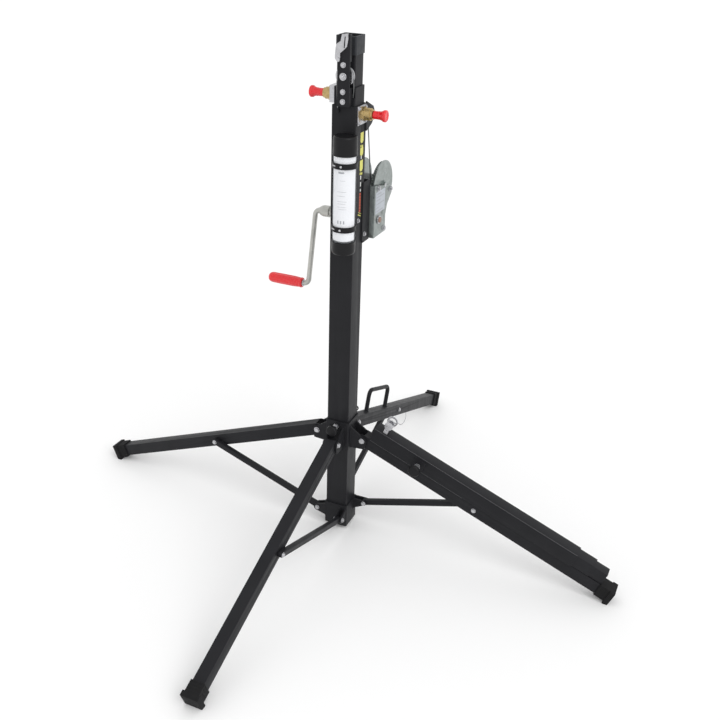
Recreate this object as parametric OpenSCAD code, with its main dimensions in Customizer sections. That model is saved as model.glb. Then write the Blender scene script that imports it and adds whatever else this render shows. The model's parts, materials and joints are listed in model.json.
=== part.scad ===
// Crank lighting stand: three square mast sections, a hand winch and four folding legs.
// Z is up, the floor is Z = 0 and the mast axis is the Z axis. Millimetres.

/* [Mast] */
// Outside width of the outer mast tube
outer_w = 80; // [80:1:80]
// Wall of the mast tubes
tube_wall = 2.5; // [2.5:0.1:2.5]
// Height of the mast's lower end above the floor
mast_z = 14; // [14:1:14]
// Height of the outer tube's upper end
outer_top = 1540; // [1520:1:1560]
// Outside width of the middle mast tube
middle_w = 70; // [70:1:70]
// Height of the middle tube's upper end, lowered
middle_top = 1593; // [1590:1:1600]
// Outside width of the inner mast tube
inner_w = 60; // [60:1:60]
// Height of the inner tube's upper end, lowered
inner_top = 1731; // [1725:1:1735]
// Diameter of the steel lifting cables
cable_d = 4; // [4:0.1:4]

/* [Legs] */
// Slope of a spread leg below the horizontal, in degrees
leg_slope = 21.3; // [21.3:0.1:21.3]
// Distance of the leg hinges from the mast axis
hinge_r = 88; // [88:1:88]
// Height of the leg hinges, legs spread
hinge_z = 390; // [390:1:390]
// Length of a leg from its hinge to the end of its foot
leg_len = 997; // [997:1:997]
// Width of a leg channel
leg_w = 40; // [40:1:40]
// Depth of a leg channel
leg_h = 45; // [45:1:45]
// Depth of a strut
strut_w = 20; // [20:1:20]

/* [Winch] */
// Radius of the cable drum's flanges
flange_r = 79; // [76:1:79]
// Length of the crank from its shaft to its grip
crank_len = 254; // [230:1:260]
// Angle of the crank arm from straight down, in degrees
crank_turn = 12.5; // [0:0.5:30]

/* [Hidden] */
$fn = 48;

// Leg azimuths: front is -Y, left is -X, back is +Y, right is +X
azimuth_front = -90;
azimuth_left = 180;
azimuth_back = 90;
azimuth_right = 0;
azimuths = [azimuth_front, azimuth_left, azimuth_back, azimuth_right];

// Mast clearances: the middle section stands forward so that the winch cable fits behind it
middle_y = -1.9;
pad_gap = 0.4;
outer_in = outer_w / 2 - tube_wall;
middle_in = middle_w / 2 - tube_wall;
middle_front = middle_y - middle_w / 2;
middle_back = middle_y + middle_w / 2;
cable_r = cable_d / 2;
winch_cable_x = 22;
winch_cable_y = (outer_in + middle_back) / 2;
lift_cable_y = (middle_front + tube_wall - inner_w / 2) / 2;

// Struts run beside the legs, between these distances from a leg's middle plane
strut_in = 20.6;
strut_out = 36.6;

// Collars and strut pivots
collar_half = 44;
collar_low = 350;
collar_high = 458;
lower_collar_high = 104;
pivot_r = 76;
pivot_z = 64;
right_pivot_r = 86;
right_pivot_z = 95;
strut_at = 464;
right_strut_at = 457.0463;
hinge_pin_r = 5;
strut_pin_r = 4;
run_gap = 0.05;

// Sleeve and extension on the right leg, measured along the leg from its hinge
sleeve_from = 22;
sleeve_to = 826;
sleeve_high = 76.5;
extension_to = 891;
extension_end = 941;

// Head of the middle section
plate_front = -60;
plate_back = -55;
head_pulley_z = 1626;
head_x = 5;
head_pulley_y = -44;
head_pulley_r = 27;
head_left = -13.5;
head_right = 25.5;

// Rear pulley and winch, as [Y, Z] points
rear_pulley_r = 27.35;
rear_pulley = [winch_cable_y + rear_pulley_r, 1500];
drum_axis = [165, 1258];
input_axis = [112, 1157];
coil_r = 28;
wind_r = 30.4;
frame_left = -45;
frame_right = 62;

// Winch gears: module, teeth and shaft distances
gear_m = 2.5;
drum_teeth = 58;
idler_teeth = 20;
pinion_teeth = 12;
drum_to_idler = gear_m * (drum_teeth + pinion_teeth) / 2;
idler_to_input = gear_m * (idler_teeth + pinion_teeth) / 2;
drum_to_input = norm(input_axis - drum_axis);
input_angle = atan2(input_axis[1] - drum_axis[1], input_axis[0] - drum_axis[0]);
idler_angle = input_angle + acos((pow(drum_to_idler, 2) + pow(drum_to_input, 2)
    - pow(idler_to_input, 2)) / (2 * drum_to_idler * drum_to_input));
idler_axis = drum_axis + drum_to_idler * [cos(idler_angle), sin(idler_angle)];
input_from_idler = atan2(input_axis[1] - idler_axis[1], input_axis[0] - idler_axis[0]);

// Spring plungers
outer_plunger_z = 1515;
middle_plunger_z = 1564;
collar_knob_z = 442;

// ---------- helpers ----------

function unit(v) = v / norm(v);
function polar(r, a) = [r * cos(a), r * sin(a)];

module tube_x(r, x0, x1, y = 0, z = 0) {
    translate([x0, y, z]) rotate([0, 90, 0]) cylinder(r = r, h = x1 - x0);
}

module tube_y(r, y0, y1, x = 0, z = 0) {
    translate([x, y0, z]) rotate([-90, 0, 0]) cylinder(r = r, h = y1 - y0);
}

module hex_x(r, x0, x1, y = 0, z = 0) {
    translate([x0, y, z]) rotate([0, 90, 0]) cylinder(r = r, h = x1 - x0, $fn = 6);
}

module hex_y(r, y0, y1, x = 0, z = 0) {
    translate([x, y0, z]) rotate([-90, 0, 0]) cylinder(r = r, h = y1 - y0, $fn = 6);
}

// Box from its low corner to its high corner
module block(low, high) {
    translate(low) cube(high - low);
}

// Outline in the Y-Z plane, thickened from x0 to x1
module plate_x(x0, x1) {
    translate([x0, 0, 0]) rotate([90, 0, 90]) linear_extrude(x1 - x0) children();
}

// Outline in the X-Z plane, thickened from y0 to y1
module plate_y(y0, y1) {
    translate([0, y1, 0]) rotate([90, 0, 0]) linear_extrude(y1 - y0) children();
}

// Square outline with rounded corners
module rounded_square(w, r) {
    inner = w / 2 - r;
    square([w, 2 * inner], center = true);
    square([2 * inner, w], center = true);
    for (x = [-inner, inner], y = [-inner, inner]) translate([x, y]) circle(r);
}

module square_tube(w, wall, z0, z1) {
    translate([0, 0, z0]) linear_extrude(z1 - z0) difference() {
        rounded_square(w, 4);
        square(w - 2 * wall, center = true);
    }
}

// Frame of a leg: X runs down the leg from its hinge, Z is square to it
module on_leg(azimuth) {
    rotate([0, 0, azimuth]) translate([hinge_r, 0, hinge_z]) rotate([0, leg_slope, 0]) children();
}

// Round cable swept along a list of points
function tangent(p, i) = unit(p[min(i + 1, len(p) - 1)] - p[max(i - 1, 0)]);
function ring(p, i, r, ref, n) =
    let (t = tangent(p, i), u = unit(cross(t, ref)), v = cross(t, u))
    [for (k = [0:n - 1]) p[i] + r * (cos(360 * k / n) * u + sin(360 * k / n) * v)];

module cable(p, r, ref) {
    n = 8;
    m = len(p);
    points = [for (i = [0:m - 1]) each ring(p, i, r, ref, n)];
    sides = [for (i = [0:m - 2], k = [0:n - 1])
        [i * n + k, (i + 1) * n + k, (i + 1) * n + (k + 1) % n, i * n + (k + 1) % n]];
    polyhedron(points, concat([[for (k = [0:n - 1]) k]], sides,
        [[for (k = [n - 1:-1:0]) (m - 1) * n + k]]));
}

// Involute gear outline; a tooth is centred on the angle given by turn
pressure = 25;
backlash = 0.15;
function involute(a) = tan(a) * 180 / PI - a;
function half_tooth(r, pitch, n) =
    let (base = pitch * cos(pressure), a = acos(min(1, base / r)))
    90 / n + involute(pressure) - involute(a) - backlash / pitch * 180 / PI;
function gear_outline(n, turn) =
    let (pitch = gear_m * n / 2, root = pitch - 1.15 * gear_m, tip = pitch + 0.8 * gear_m,
         base = max(root + 0.05, pitch * cos(pressure)),
         radii = [root, base, (base + tip) / 2, tip])
    [for (i = [0:n - 1]) let (c = turn + 360 * i / n) each concat(
        [for (r = radii) polar(r, c - half_tooth(r, pitch, n))],
        [for (j = [3:-1:0]) polar(radii[j], c + half_tooth(radii[j], pitch, n))])];

module gear(n, turn, x0, x1, axis) {
    plate_x(x0, x1) translate(axis) polygon(gear_outline(n, turn));
}

// ---------- mast, fixed ----------

cable_anchor_x = -17.5;

module outer_tube() {
    color("#26282b") difference() {
        union() {
            square_tube(outer_w, tube_wall, mast_z, outer_top);
            // eye for the lifting cable's fixed strand
            block([cable_anchor_x - 4.5, -48, 1519], [cable_anchor_x + 4.5, -outer_w / 2 + 1, 1533]);
        }
        translate([cable_anchor_x, head_pulley_y, 1500]) cylinder(r = cable_r + 0.5, h = 50);
        // slot for the rear pulley
        block([winch_cable_x - 8, outer_in - 1, rear_pulley[1] - 32],
              [winch_cable_x + 8, outer_w, rear_pulley[1] + 32]);
        tube_x(6.5, outer_in - 1, outer_w, 0, outer_plunger_z);
        tube_y(4.5, -outer_w, -outer_in + 1, 0, collar_knob_z);
    }
}

module mast_end_plug() {
    color("#1b1c1e") union() {
        block([-outer_in, -outer_in, mast_z], [outer_in, outer_in, mast_z + 6]);
        // buffers that the middle section lands on
        for (x = [-22, 22]) translate([x, 0, mast_z + 6]) cylinder(r = 6, h = 3.5);
    }
}

// Cheeks, each 5 thick, that reach out from a collar to a pivot
module cheeks(azimuth, r, z, starts, round_r, low, high) {
    rotate([0, 0, azimuth]) for (y0 = starts) plate_y(y0, y0 + 5) {
        translate([r, z]) circle(round_r);
        polygon([[collar_half - 3, low], [r, z - round_r], [r, z + round_r],
                 [collar_half - 3, high]]);
    }
}

strut_cheeks = [strut_in - 5.7, strut_out + 0.7];

module lower_collar() {
    color("#232527") difference() {
        union() {
            translate([0, 0, mast_z]) linear_extrude(lower_collar_high - mast_z) difference() {
                rounded_square(2 * collar_half, 5);
                square(outer_w, center = true);
            }
            for (a = [azimuth_front, azimuth_left, azimuth_back])
                cheeks(a, pivot_r, pivot_z, strut_cheeks, 14, 40, 92);
            cheeks(azimuth_right, right_pivot_r, right_pivot_z, strut_cheeks, 10, 60, 104);
        }
        for (a = [azimuth_front, azimuth_left, azimuth_back]) rotate([0, 0, a])
            tube_y(5, 10, 50, pivot_r, pivot_z);
        tube_y(5, 10, 50, right_pivot_r, right_pivot_z);
    }
}

// Bolts in the two cheeks; the strut's eye turns between their ends
module pivot_bolts(azimuth, r, z) {
    rotate([0, 0, azimuth]) {
        tube_y(5, strut_cheeks[0] - 1, strut_in - 0.7, r, z);
        hex_y(7, strut_cheeks[0] - 5, strut_cheeks[0], r, z);
        tube_y(5, strut_out + 0.7, strut_cheeks[1] + 6, r, z);
        hex_y(7, strut_cheeks[1] + 5, strut_cheeks[1] + 10, r, z);
    }
}

module lower_collar_bolts() {
    color("#c9ccce") {
        for (a = [azimuth_front, azimuth_left, azimuth_back]) pivot_bolts(a, pivot_r, pivot_z);
        pivot_bolts(azimuth_right, right_pivot_r, right_pivot_z);
    }
}

module outer_guide_pads() {
    color("#e4e2da") {
        for (side = [-1, 1]) {
            x0 = side > 0 ? middle_w / 2 + pad_gap : -outer_in;
            block([x0, -28, 1425], [x0 + outer_in - middle_w / 2 - pad_gap, 28, 1495]);
        }
        block([-28, middle_back + pad_gap, 1425], [8, outer_in, 1536]);
    }
}

module rear_gussets() {
    color("#232527") difference() {
        for (x = [-outer_w / 2 - 4, outer_w / 2]) plate_x(x, x + 4)
            polygon([[31.5, 1457], [31.5, 1546], [84, 1523], [94, 1508], [94, 1492], [76, 1473],
                     [40, 1457]]);
        tube_x(5, -60, 60, rear_pulley[0], rear_pulley[1]);
    }
}

module rear_pulley_axle() {
    color("#c4c7c9") {
        tube_x(5, -47, 47, rear_pulley[0], rear_pulley[1]);
        hex_x(8, 44, 49, rear_pulley[0], rear_pulley[1]);
        hex_x(8, -49, -44, rear_pulley[0], rear_pulley[1]);
        for (span = [[-40, winch_cable_x - 6.5], [winch_cable_x + 6.5, 40]]) difference() {
            tube_x(8, span[0], span[1], rear_pulley[0], rear_pulley[1]);
            tube_x(5, span[0] - 1, span[1] + 1, rear_pulley[0], rear_pulley[1]);
        }
    }
}

module winch_channel() {
    color("#202224") difference() {
        block([-45, 22, 1100], [45, 77, 1297]);
        block([-40, 0, 1090], [40, 72, 1310]);
        block([-60, 0, 1080], [60, 30, 1108]);
    }
}

side_plate = [[77, 1103], [178, 1102], [181, 1108], [172, 1122], [171.5, 1158], [184.5, 1191],
              [219, 1222], [222, 1231], [216, 1245], [200, 1252], [157, 1260], [90, 1274], [77, 1276]];

module winch_frame() {
    color("#b4b8b6") difference() {
        union() {
            block([frame_left, 77, 1103], [frame_right, 80, 1276]);
            for (x = [frame_left, frame_right - 3]) plate_x(x, x + 3) {
                polygon(side_plate);
                translate(drum_axis) circle(10);
            }
        }
        for (axis = [input_axis, idler_axis])
            tube_x(axis == input_axis ? 9 + run_gap : 7 + run_gap, -60, 80, axis[0], axis[1]);
        tube_x(6, -60, 80, drum_axis[0], drum_axis[1]);
        for (p = concat([spacer_point], plate_screws)) tube_x(4, -60, 80, p[0], p[1]);
    }
}

spacer_point = [161, 1115];
plate_screws = [[208, 1236], [106, 1262]];

// Drum axle, the bolt that holds the two side plates apart, and their screws
module winch_spacers() {
    color("#cfd2d3") {
        tube_x(6.5, frame_left + 3, frame_right - 3, spacer_point[0], spacer_point[1]);
        for (p = concat([spacer_point], plate_screws)) {
            hex_x(7.5, frame_right, frame_right + 5, p[0], p[1]);
            hex_x(7.5, frame_left - 5, frame_left, p[0], p[1]);
            tube_x(4, frame_right - 4, frame_right + 1, p[0], p[1]);
            tube_x(4, frame_left - 1, frame_left + 4, p[0], p[1]);
        }
        tube_x(6, frame_left, frame_right, drum_axis[0], drum_axis[1]);
    }
}

doc_x = 26;
doc_y = -79.5;

module doc_ring(r_out, r_in, z0, z1) {
    translate([doc_x, doc_y, z0]) difference() {
        cylinder(r = r_out, h = z1 - z0);
        translate([0, 0, -1]) cylinder(r = r_in, h = z1 - z0 + 2);
    }
}

module document_tube() {
    color("#dfe6ea", 0.5) doc_ring(36, 34.5, 1113, 1452);
}

module document_tube_caps() {
    color("#1f2022") {
        doc_ring(37.5, 36, 1113, 1142);
        doc_ring(37.5, 36, 1407, 1452);
        translate([doc_x, doc_y, 1105]) cylinder(r = 37.5, h = 8);
        translate([doc_x, doc_y, 1452]) cylinder(r = 37.5, h = 8);
        translate([doc_x, doc_y, 1101]) cylinder(r = 34, h = 4);
        translate([doc_x, doc_y, 1460]) cylinder(r = 34, h = 4);
    }
}

module document_roll() {
    color("#f4f4f2") doc_ring(33.5, 31.5, 1115, 1450);
}

module document_clips() {
    color("#26272a") for (z = [1183, 1379]) difference() {
        union() {
            translate([doc_x, doc_y, z - 9]) cylinder(r = 39, h = 18);
            block([doc_x - 26, -57, z - 9], [doc_x + 14, -40, z + 9]);
        }
        translate([doc_x, doc_y, z - 10]) cylinder(r = 36, h = 20);
    }
}

plate_bolts = [[-22, -24], [-22, 17], [22, -24], [22, 17]];

module outer_plunger_plate() {
    color("#c7cacb") difference() {
        union() {
            block([40, -30, outer_plunger_z - 32], [43, 30, outer_plunger_z + 24]);
            for (p = plate_bolts) hex_x(5.5, 43, 47.5, p[0], outer_plunger_z + p[1]);
        }
        tube_x(6.5, 30, 60, 0, outer_plunger_z);
    }
}

// Threaded body of a spring plunger, drawn pointing along +X
module plunger_bush(x, body) {
    difference() {
        union() {
            hex_x(21, x, x + 12);
            tube_x(18, x + 12, x + body - 7);
            tube_x(15, x + body - 7, x + body);
        }
        tube_x(6 + run_gap, x - 1, x + body + 1);
    }
}

// Pin and pull knob of a spring plunger, drawn pointing along +X
module plunger_knob(tip, x, grip) {
    tube_x(6, tip, x + 6);
    translate([x, 0, 0]) rotate([90, 0, 90]) rotate_extrude()
        polygon([[0, 0], [11, 0], [11.5, grip - 28], [12.5, grip - 20], [15, grip - 12], [17.8, grip - 7],
                 [17.8, grip - 3], [16, grip], [0, grip]]);
}

module outer_plunger_bush() {
    color("#b9975a") translate([0, 0, outer_plunger_z]) plunger_bush(43, 37);
}

module outer_plunger_knob() {
    color("#c8161d") translate([0, 0, outer_plunger_z]) plunger_knob(35.9, 81, 42);
}

mast_side_bolts = [[-4, 1183], [38, 1128]];

// Bolts that hold the winch channel
module mast_bolts() {
    color("#d5d8da") {
        hex_x(6, 40, 45, mast_side_bolts[0][0], mast_side_bolts[0][1]);
        hex_x(6, 45, 50, mast_side_bolts[1][0], mast_side_bolts[1][1]);
    }
}

// Route of the winch cable: drum, over the rear pulley, down inside the mast
to_pulley = rear_pulley - drum_axis;
leave_angle = atan2(to_pulley[1], to_pulley[0]) + acos((wind_r + rear_pulley_r) / norm(to_pulley));
drum_side = drum_axis + polar(wind_r, leave_angle);
pulley_side = rear_pulley - polar(rear_pulley_r, leave_angle);
winch_cable_path = concat(
    [for (k = [0:6]) let (p = drum_side + (pulley_side - drum_side) * k / 6)
        [winch_cable_x, p[0], p[1]]],
    [for (a = [15:15:180]) let (p = rear_pulley + polar(rear_pulley_r, a)) [winch_cable_x, p[0], p[1]]],
    [for (z = [1400:-274:30]) [winch_cable_x, winch_cable_y, z]]);

module winch_cable() {
    color("#8d9194") cable(winch_cable_path, cable_r, [1, 0, 0]);
}

// ---------- middle section ----------

module middle_tube() {
    color("#2a2c2f") difference() {
        translate([0, middle_y, 0]) square_tube(middle_w, tube_wall, 34, middle_top);
        // notch where the lifting cable goes inside
        block([23.5, -50, 1564], [33.5, middle_front + tube_wall + 1, 1600]);
        tube_x(6.5, -middle_w, -middle_in + 1, 0, middle_plunger_z);
    }
}

module middle_base_block() {
    color("#e4e2da") difference() {
        union() {
            block([-37.1, middle_front - 0.2, 24], [37.1, 37.1, 34]);
            block([-middle_in, middle_front + tube_wall, 34],
                  [middle_in, middle_back - tube_wall, 54]);
        }
        // groove that clears the winch cable
        block([winch_cable_x - 3, middle_back - 0.4, 20], [winch_cable_x + 3, 40, 40]);
    }
}

module middle_guide_pads() {
    color("#e4e2da") {
        for (side = [-1, 1]) {
            x0 = side > 0 ? inner_w / 2 + pad_gap : -middle_in;
            block([x0, -26, 1475], [x0 + middle_in - inner_w / 2 - pad_gap, 24, 1545]);
        }
        block([-20, middle_front + tube_wall, 1475], [18, -inner_w / 2 - pad_gap, 1589]);
    }
}

module head_bracket() {
    color("#1f2123") difference() {
        union() {
            block([head_left, plate_front, 1541], [head_right, plate_back, head_top]);
            for (x = [head_left, head_right - 4])
                block([x, plate_back, 1541], [x + 4, middle_front, 1594]);
            block([head_left, middle_front - 4, 1541], [22, middle_front, 1592]);
            for (x = [head_left, head_right - 3.5])
                block([x, plate_back, 1668], [x + 3.5, -46, head_top]);
        }
        tube_y(4, -70, -50, head_x, head_pulley_z);
        for (z = small_bolt_z) tube_y(3, -70, -50, head_x, z);
        tube_y(3, -70, -50, catch_pivot[0], catch_pivot[1]);
        // front face bevelled at the upper left corner
        translate([head_left - 1, -70, head_top + 1]) rotate([0, 45, 0]) cube([12, 80, 12], center = true);
    }
}

head_top = 1743;
small_bolt_z = [1555, 1583, 1658.5];
catch_pivot = [-8.5, 1673];

module head_bolts() {
    color("#d5d8da") {
        for (z = small_bolt_z) {
            tube_y(3, plate_front - 2, plate_back + 2, head_x, z);
            hex_y(6.5, plate_front - 5, plate_front, head_x, z);
        }
        // guard sleeve that keeps the cable on the pulley
        tube_y(3, plate_back + 2, -37, head_x, 1658.5);
        tube_y(4, -67, -36, head_x, head_pulley_z);
        hex_y(8.5, -66, plate_front, head_x, head_pulley_z);
        difference() {
            tube_y(8, plate_back, -50.5, head_x, head_pulley_z);
            tube_y(4, plate_back - 1, -50, head_x, head_pulley_z);
        }
        difference() {
            tube_y(7, -37.2, -34.5, head_x, head_pulley_z);
            tube_y(4, -38, -36, head_x, head_pulley_z);
        }
        tube_y(3, -65, -53, catch_pivot[0], catch_pivot[1]);
        tube_y(5, -66.5, -64.2, catch_pivot[0], catch_pivot[1]);
    }
}

module middle_plunger_plate() {
    color("#c7cacb") difference() {
        block([-55, -24, 1542], [-35, 24, 1592]);
        // pressed from plate, open towards the tube
        difference() {
            block([-51, -20.5, 1545.5], [-34, 20.5, 1588.5]);
            tube_x(10, -60, -30, 0, middle_plunger_z);
        }
        tube_x(6.5, -60, -30, 0, middle_plunger_z);
    }
}

module middle_plunger_bush() {
    color("#b9975a") translate([0, 0, middle_plunger_z]) mirror([1, 0, 0]) plunger_bush(55, 28);
}

module middle_plunger_knob() {
    color("#c8161d") translate([0, 0, middle_plunger_z]) mirror([1, 0, 0]) plunger_knob(31, 84, 45);
}

// Route of the lifting cable: up from the outer tube, over the head pulley, down inside
lift_cable_path = concat(
    [for (z = [1535, 1565, 1595]) [cable_anchor_x - (z - 1535) / 18, head_pulley_y, z]],
    [for (a = [180:-15:0]) [head_x + head_pulley_r * cos(a), head_pulley_y,
                            head_pulley_z + head_pulley_r * sin(a)]],
    [[31.6, -43, 1612], [30.4, -39, 1599], [29.2, -35.2, 1587], [27.8, lift_cable_y - 0.6, 1574],
     [26.4, lift_cable_y, 1560]],
    [for (z = [1400:-266:70]) [26, lift_cable_y, z]]);

module lift_cable() {
    color("#a9adb0") cable(lift_cable_path, cable_r, [0, 1, 0]);
}

// ---------- inner section ----------

module inner_tube() {
    color("#2a2c2f") square_tube(inner_w, tube_wall, 74, inner_top);
}

module inner_base_block() {
    color("#e4e2da") difference() {
        union() {
            block([-32.1, -34, 62], [32.1, 30, 74]);
            block([-27.5, -27.5, 74], [27.5, 27.5, 96]);
        }
        block([23, -40, 60], [29, -29.5, 80]);
    }
}

module inner_cap() {
    color("#3c3f43") difference() {
        translate([0, 0, 1683]) linear_extrude(52) rounded_square(66, 5);
        translate([0, 0, 1670]) cube([inner_w, inner_w, 2 * (inner_top - 1670)], center = true);
        translate([0, 0, 1700]) cube([55, 55, 80], center = true);
    }
}

// ---------- sliding leg collar ----------

module leg_collar() {
    color("#232527") difference() {
        union() {
            translate([0, 0, collar_low]) linear_extrude(collar_high - collar_low) difference() {
                rounded_square(2 * collar_half, 5);
                square(outer_w + 1, center = true);
            }
            for (a = azimuths) {
                cheeks(a, hinge_r, hinge_z, [-26, 21], 17, collar_low, 440);
                rotate([0, 0, a]) for (y0 = [-26, 21]) plate_y(y0, y0 + 5)
                    polygon([[collar_half - 3, collar_low + 4], [hinge_r + 10, collar_low + 8],
                             [hinge_r + 16.5, hinge_z - 4], [hinge_r, hinge_z]]);
            }
            // threaded boss of the collar's plunger
            tube_y(9, -50, -42, 0, collar_knob_z);
        }
        for (a = azimuths) rotate([0, 0, a]) tube_y(hinge_pin_r, -30, 30, hinge_r, hinge_z);
        tube_y(4 + run_gap, -60, -30, 0, collar_knob_z);
    }
}

module leg_hinge_bolts() {
    color("#d5d8da") {
        for (a = azimuths) rotate([0, 0, a]) {
            tube_y(hinge_pin_r, -30, 30, hinge_r, hinge_z);
            hex_y(8.5, 26, 31.5, hinge_r, hinge_z);
            hex_y(8.5, -31.5, -26, hinge_r, hinge_z);
        }
        // lock nut of the collar's plunger
        difference() {
            hex_y(11, -55, -50, 0, collar_knob_z);
            tube_y(4 + run_gap, -60, -40, 0, collar_knob_z);
        }
    }
}

module collar_eye() {
    color("#26272a") translate([33, collar_half + 2, collar_high]) {
        difference() {
            plate_y(-2, 2) {
                translate([0, 17]) circle(9);
                translate([-4, -10]) square([8, 20]);
            }
            tube_y(5, -3, 3, 0, 17);
        }
    }
}

module collar_knob() {
    color("#1d1e20") {
        tube_y(4, -70, -40.4, 0, collar_knob_z);
        translate([0, -66, collar_knob_z]) rotate([90, 0, 0]) rotate_extrude()
            polygon([[0, 0], [9, 0], [10, 10], [18, 14], [19.5, 18], [19.5, 26], [17, 30], [0, 30]]);
    }
}

// ---------- legs ----------

// Inverted channel with a rounded upper end; the strut folds up into it
module leg_channel(strut_s) {
    half_w = leg_w / 2;
    half_h = leg_h / 2;
    difference() {
        union() {
            for (side = [-half_w, half_w - tube_wall]) {
                tube_y(half_h, side, side + tube_wall);
                block([0, side, -half_h], [leg_len - 19, side + tube_wall, half_h]);
            }
            block([0, -half_w, half_h - tube_wall], [leg_len - 19, half_w, half_h]);
        }
        tube_y(hinge_pin_r + run_gap, -half_w - 1, half_w + 1);
        tube_y(strut_pin_r + run_gap, -half_w - 1, half_w + 1, strut_s);
    }
}

module leg_front() { color("#26282b") on_leg(azimuth_front) leg_channel(strut_at); }
module leg_left() { color("#26282b") on_leg(azimuth_left) leg_channel(strut_at); }
module leg_back() { color("#26282b") on_leg(azimuth_back) leg_channel(strut_at); }
module leg_right() { color("#26282b") on_leg(azimuth_right) leg_channel(right_strut_at); }

// Rubber boot: a sleeve on the channel's end and a broad sole, cut level with the floor
module foot(azimuth, boot_high = 26.5, sole_high = 30) {
    color("#1b1c1d") difference() {
        on_leg(azimuth) difference() {
            union() {
                block([leg_len - 56, -24.5, -27], [leg_len - 18, 24.5, boot_high]);
                block([leg_len - 18, -30, -35], [leg_len, 30, sole_high]);
            }
            block([leg_len - 60, -leg_w / 2, -leg_h / 2], [leg_len - 19, leg_w / 2, leg_h / 2]);
        }
        rotate([0, 0, azimuth]) block([hinge_r, -60, -80], [hinge_r + 1200, 60, 0]);
    }
}

module foot_front() { foot(azimuth_front); }
module foot_left() { foot(azimuth_left); }
module foot_back() { foot(azimuth_back); }
module foot_right() { foot(azimuth_right, 25, 25); }

// Strut with its pivot pin, from the pin on the leg to the eye at the lower collar
module strut(azimuth, leg_s, low_r, low_z) {
    top_r = hinge_r + leg_s * cos(leg_slope);
    top_z = hinge_z - leg_s * sin(leg_slope);
    length = norm([top_r - low_r, top_z - low_z]);
    fall = atan2(top_z - low_z, top_r - low_r);
    half = strut_w / 2;
    color("#26282b") rotate([0, 0, azimuth]) translate([top_r, 0, top_z]) rotate([0, -fall, 0]) difference() {
        union() {
            block([-length, strut_in, -half], [0, strut_out, half]);
            for (x = [-length, 0]) tube_y(half, strut_in, strut_out, x);
            tube_y(strut_pin_r, -25, strut_out + 1);
            hex_y(7, strut_out + 0.4, strut_out + 5.4);
            tube_y(5.5, strut_out, strut_out + 0.4);
            hex_y(7, -25.5, -20.6);
        }
        tube_y(5.3, strut_in - 1, strut_out + 1, -length);
    }
}

module strut_front() { strut(azimuth_front, strut_at, pivot_r, pivot_z); }
module strut_left() { strut(azimuth_left, strut_at, pivot_r, pivot_z); }
module strut_back() { strut(azimuth_back, strut_at, pivot_r, pivot_z); }
module strut_right() { strut(azimuth_right, right_strut_at, right_pivot_r, right_pivot_z); }

// Bent rod handle on top of the back leg
handle_from = 130;
handle_to = 333;
handle_high = 105;
handle_r = 8;
handle_bend = 22;

module carry_handle() {
    top = leg_h / 2;
    color("#242629") on_leg(azimuth_back) {
        for (x = [handle_from, handle_to])
            translate([x, 0, top]) cylinder(r = handle_r, h = handle_high - handle_bend - top);
        tube_x(handle_r, handle_from + handle_bend, handle_to - handle_bend, 0, handle_high);
        for (side = [0, 1]) translate([side ? handle_to - handle_bend : handle_from + handle_bend, 0,
                                       handle_high - handle_bend])
            rotate([90, 0, 0]) rotate([0, 0, side ? 0 : 90]) rotate_extrude(angle = 90)
                translate([handle_bend, 0]) circle(handle_r, $fn = 32);
    }
}

// Box-section sleeve welded on top of the right leg
module leg_sleeve() {
    low = leg_h / 2;
    color("#26282b") on_leg(azimuth_right) difference() {
        block([sleeve_from, -25, low], [sleeve_to, 25, sleeve_high]);
        block([sleeve_from - 1, -22.5, low + tube_wall], [sleeve_to + 1, 22.5, sleeve_high - tube_wall]);
        tube_y(4.5, -30, -20, leg_knob_s, leg_knob_n);
    }
}

module leg_extension() {
    low = leg_h / 2 + tube_wall + 0.4;
    high = sleeve_high - tube_wall - 0.4;
    color("#303236") on_leg(azimuth_right) difference() {
        union() {
            block([sleeve_from + 94, -22.1, low], [extension_to, 22.1, high]);
            block([extension_to, -19, low], [extension_end, 19, high - 4]);
        }
        block([sleeve_from + 84, -19.6, low + 2.5], [extension_to - 6, 19.6, high - 2.5]);
        tube_y(4.5, -30, -19, leg_knob_s, leg_knob_n);
    }
}

leg_knob_s = 214;
leg_knob_n = 40;
clip_s = 60;
clip_n = sleeve_high + 36;

// Galvanised clip with its ring at the sleeve's upper end, and the leg knob's boss plate
module leg_sleeve_fittings() {
    on_leg(azimuth_right) {
        color("#c3c6c8") difference() {
            union() {
                for (y = [-21, -2]) {
                    block([clip_s - 8, y, sleeve_high], [clip_s + 8, y + 4, clip_n]);
                    tube_y(15, y, y + 4, clip_s, clip_n);
                }
                block([clip_s + 3, -21, sleeve_high], [clip_s + 8, 2, clip_n - 6]);
            }
            tube_y(4, -25, 6, clip_s, clip_n);
        }
        color("#c3c6c8") tube_y(4, -24, 16, clip_s, clip_n);
        color("#d9dbdc") translate([clip_s, 16, clip_n]) rotate([-90, 0, 0]) difference() {
            cylinder(r = 19, h = 3);
            translate([0, 0, -1]) cylinder(r = 14.5, h = 6);
        }
        color("#d9dbdc") block([clip_s - 16, 16, clip_n - 1.5], [clip_s + 16, 19, clip_n + 1.5]);
        color("#d5d8da") difference() {
            union() {
                block([leg_knob_s - 20, -28, 12], [leg_knob_s + 22, -25, 66]);
                hex_y(11, -34, -28, leg_knob_s, leg_knob_n);
            }
            tube_y(4 + run_gap, -40, -20, leg_knob_s, leg_knob_n);
        }
    }
}

module leg_knob() {
    color("#1d1e20") on_leg(azimuth_right) {
        tube_y(4, -50, -22.7, leg_knob_s, leg_knob_n);
        translate([leg_knob_s, -44, leg_knob_n]) rotate([90, 0, 0]) rotate_extrude()
            polygon([[0, 0], [9, 0], [11, 7], [19, 10], [21.5, 14], [21.5, 22], [18, 26], [0, 26]]);
    }
}

// ---------- winch, turning parts ----------

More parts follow.
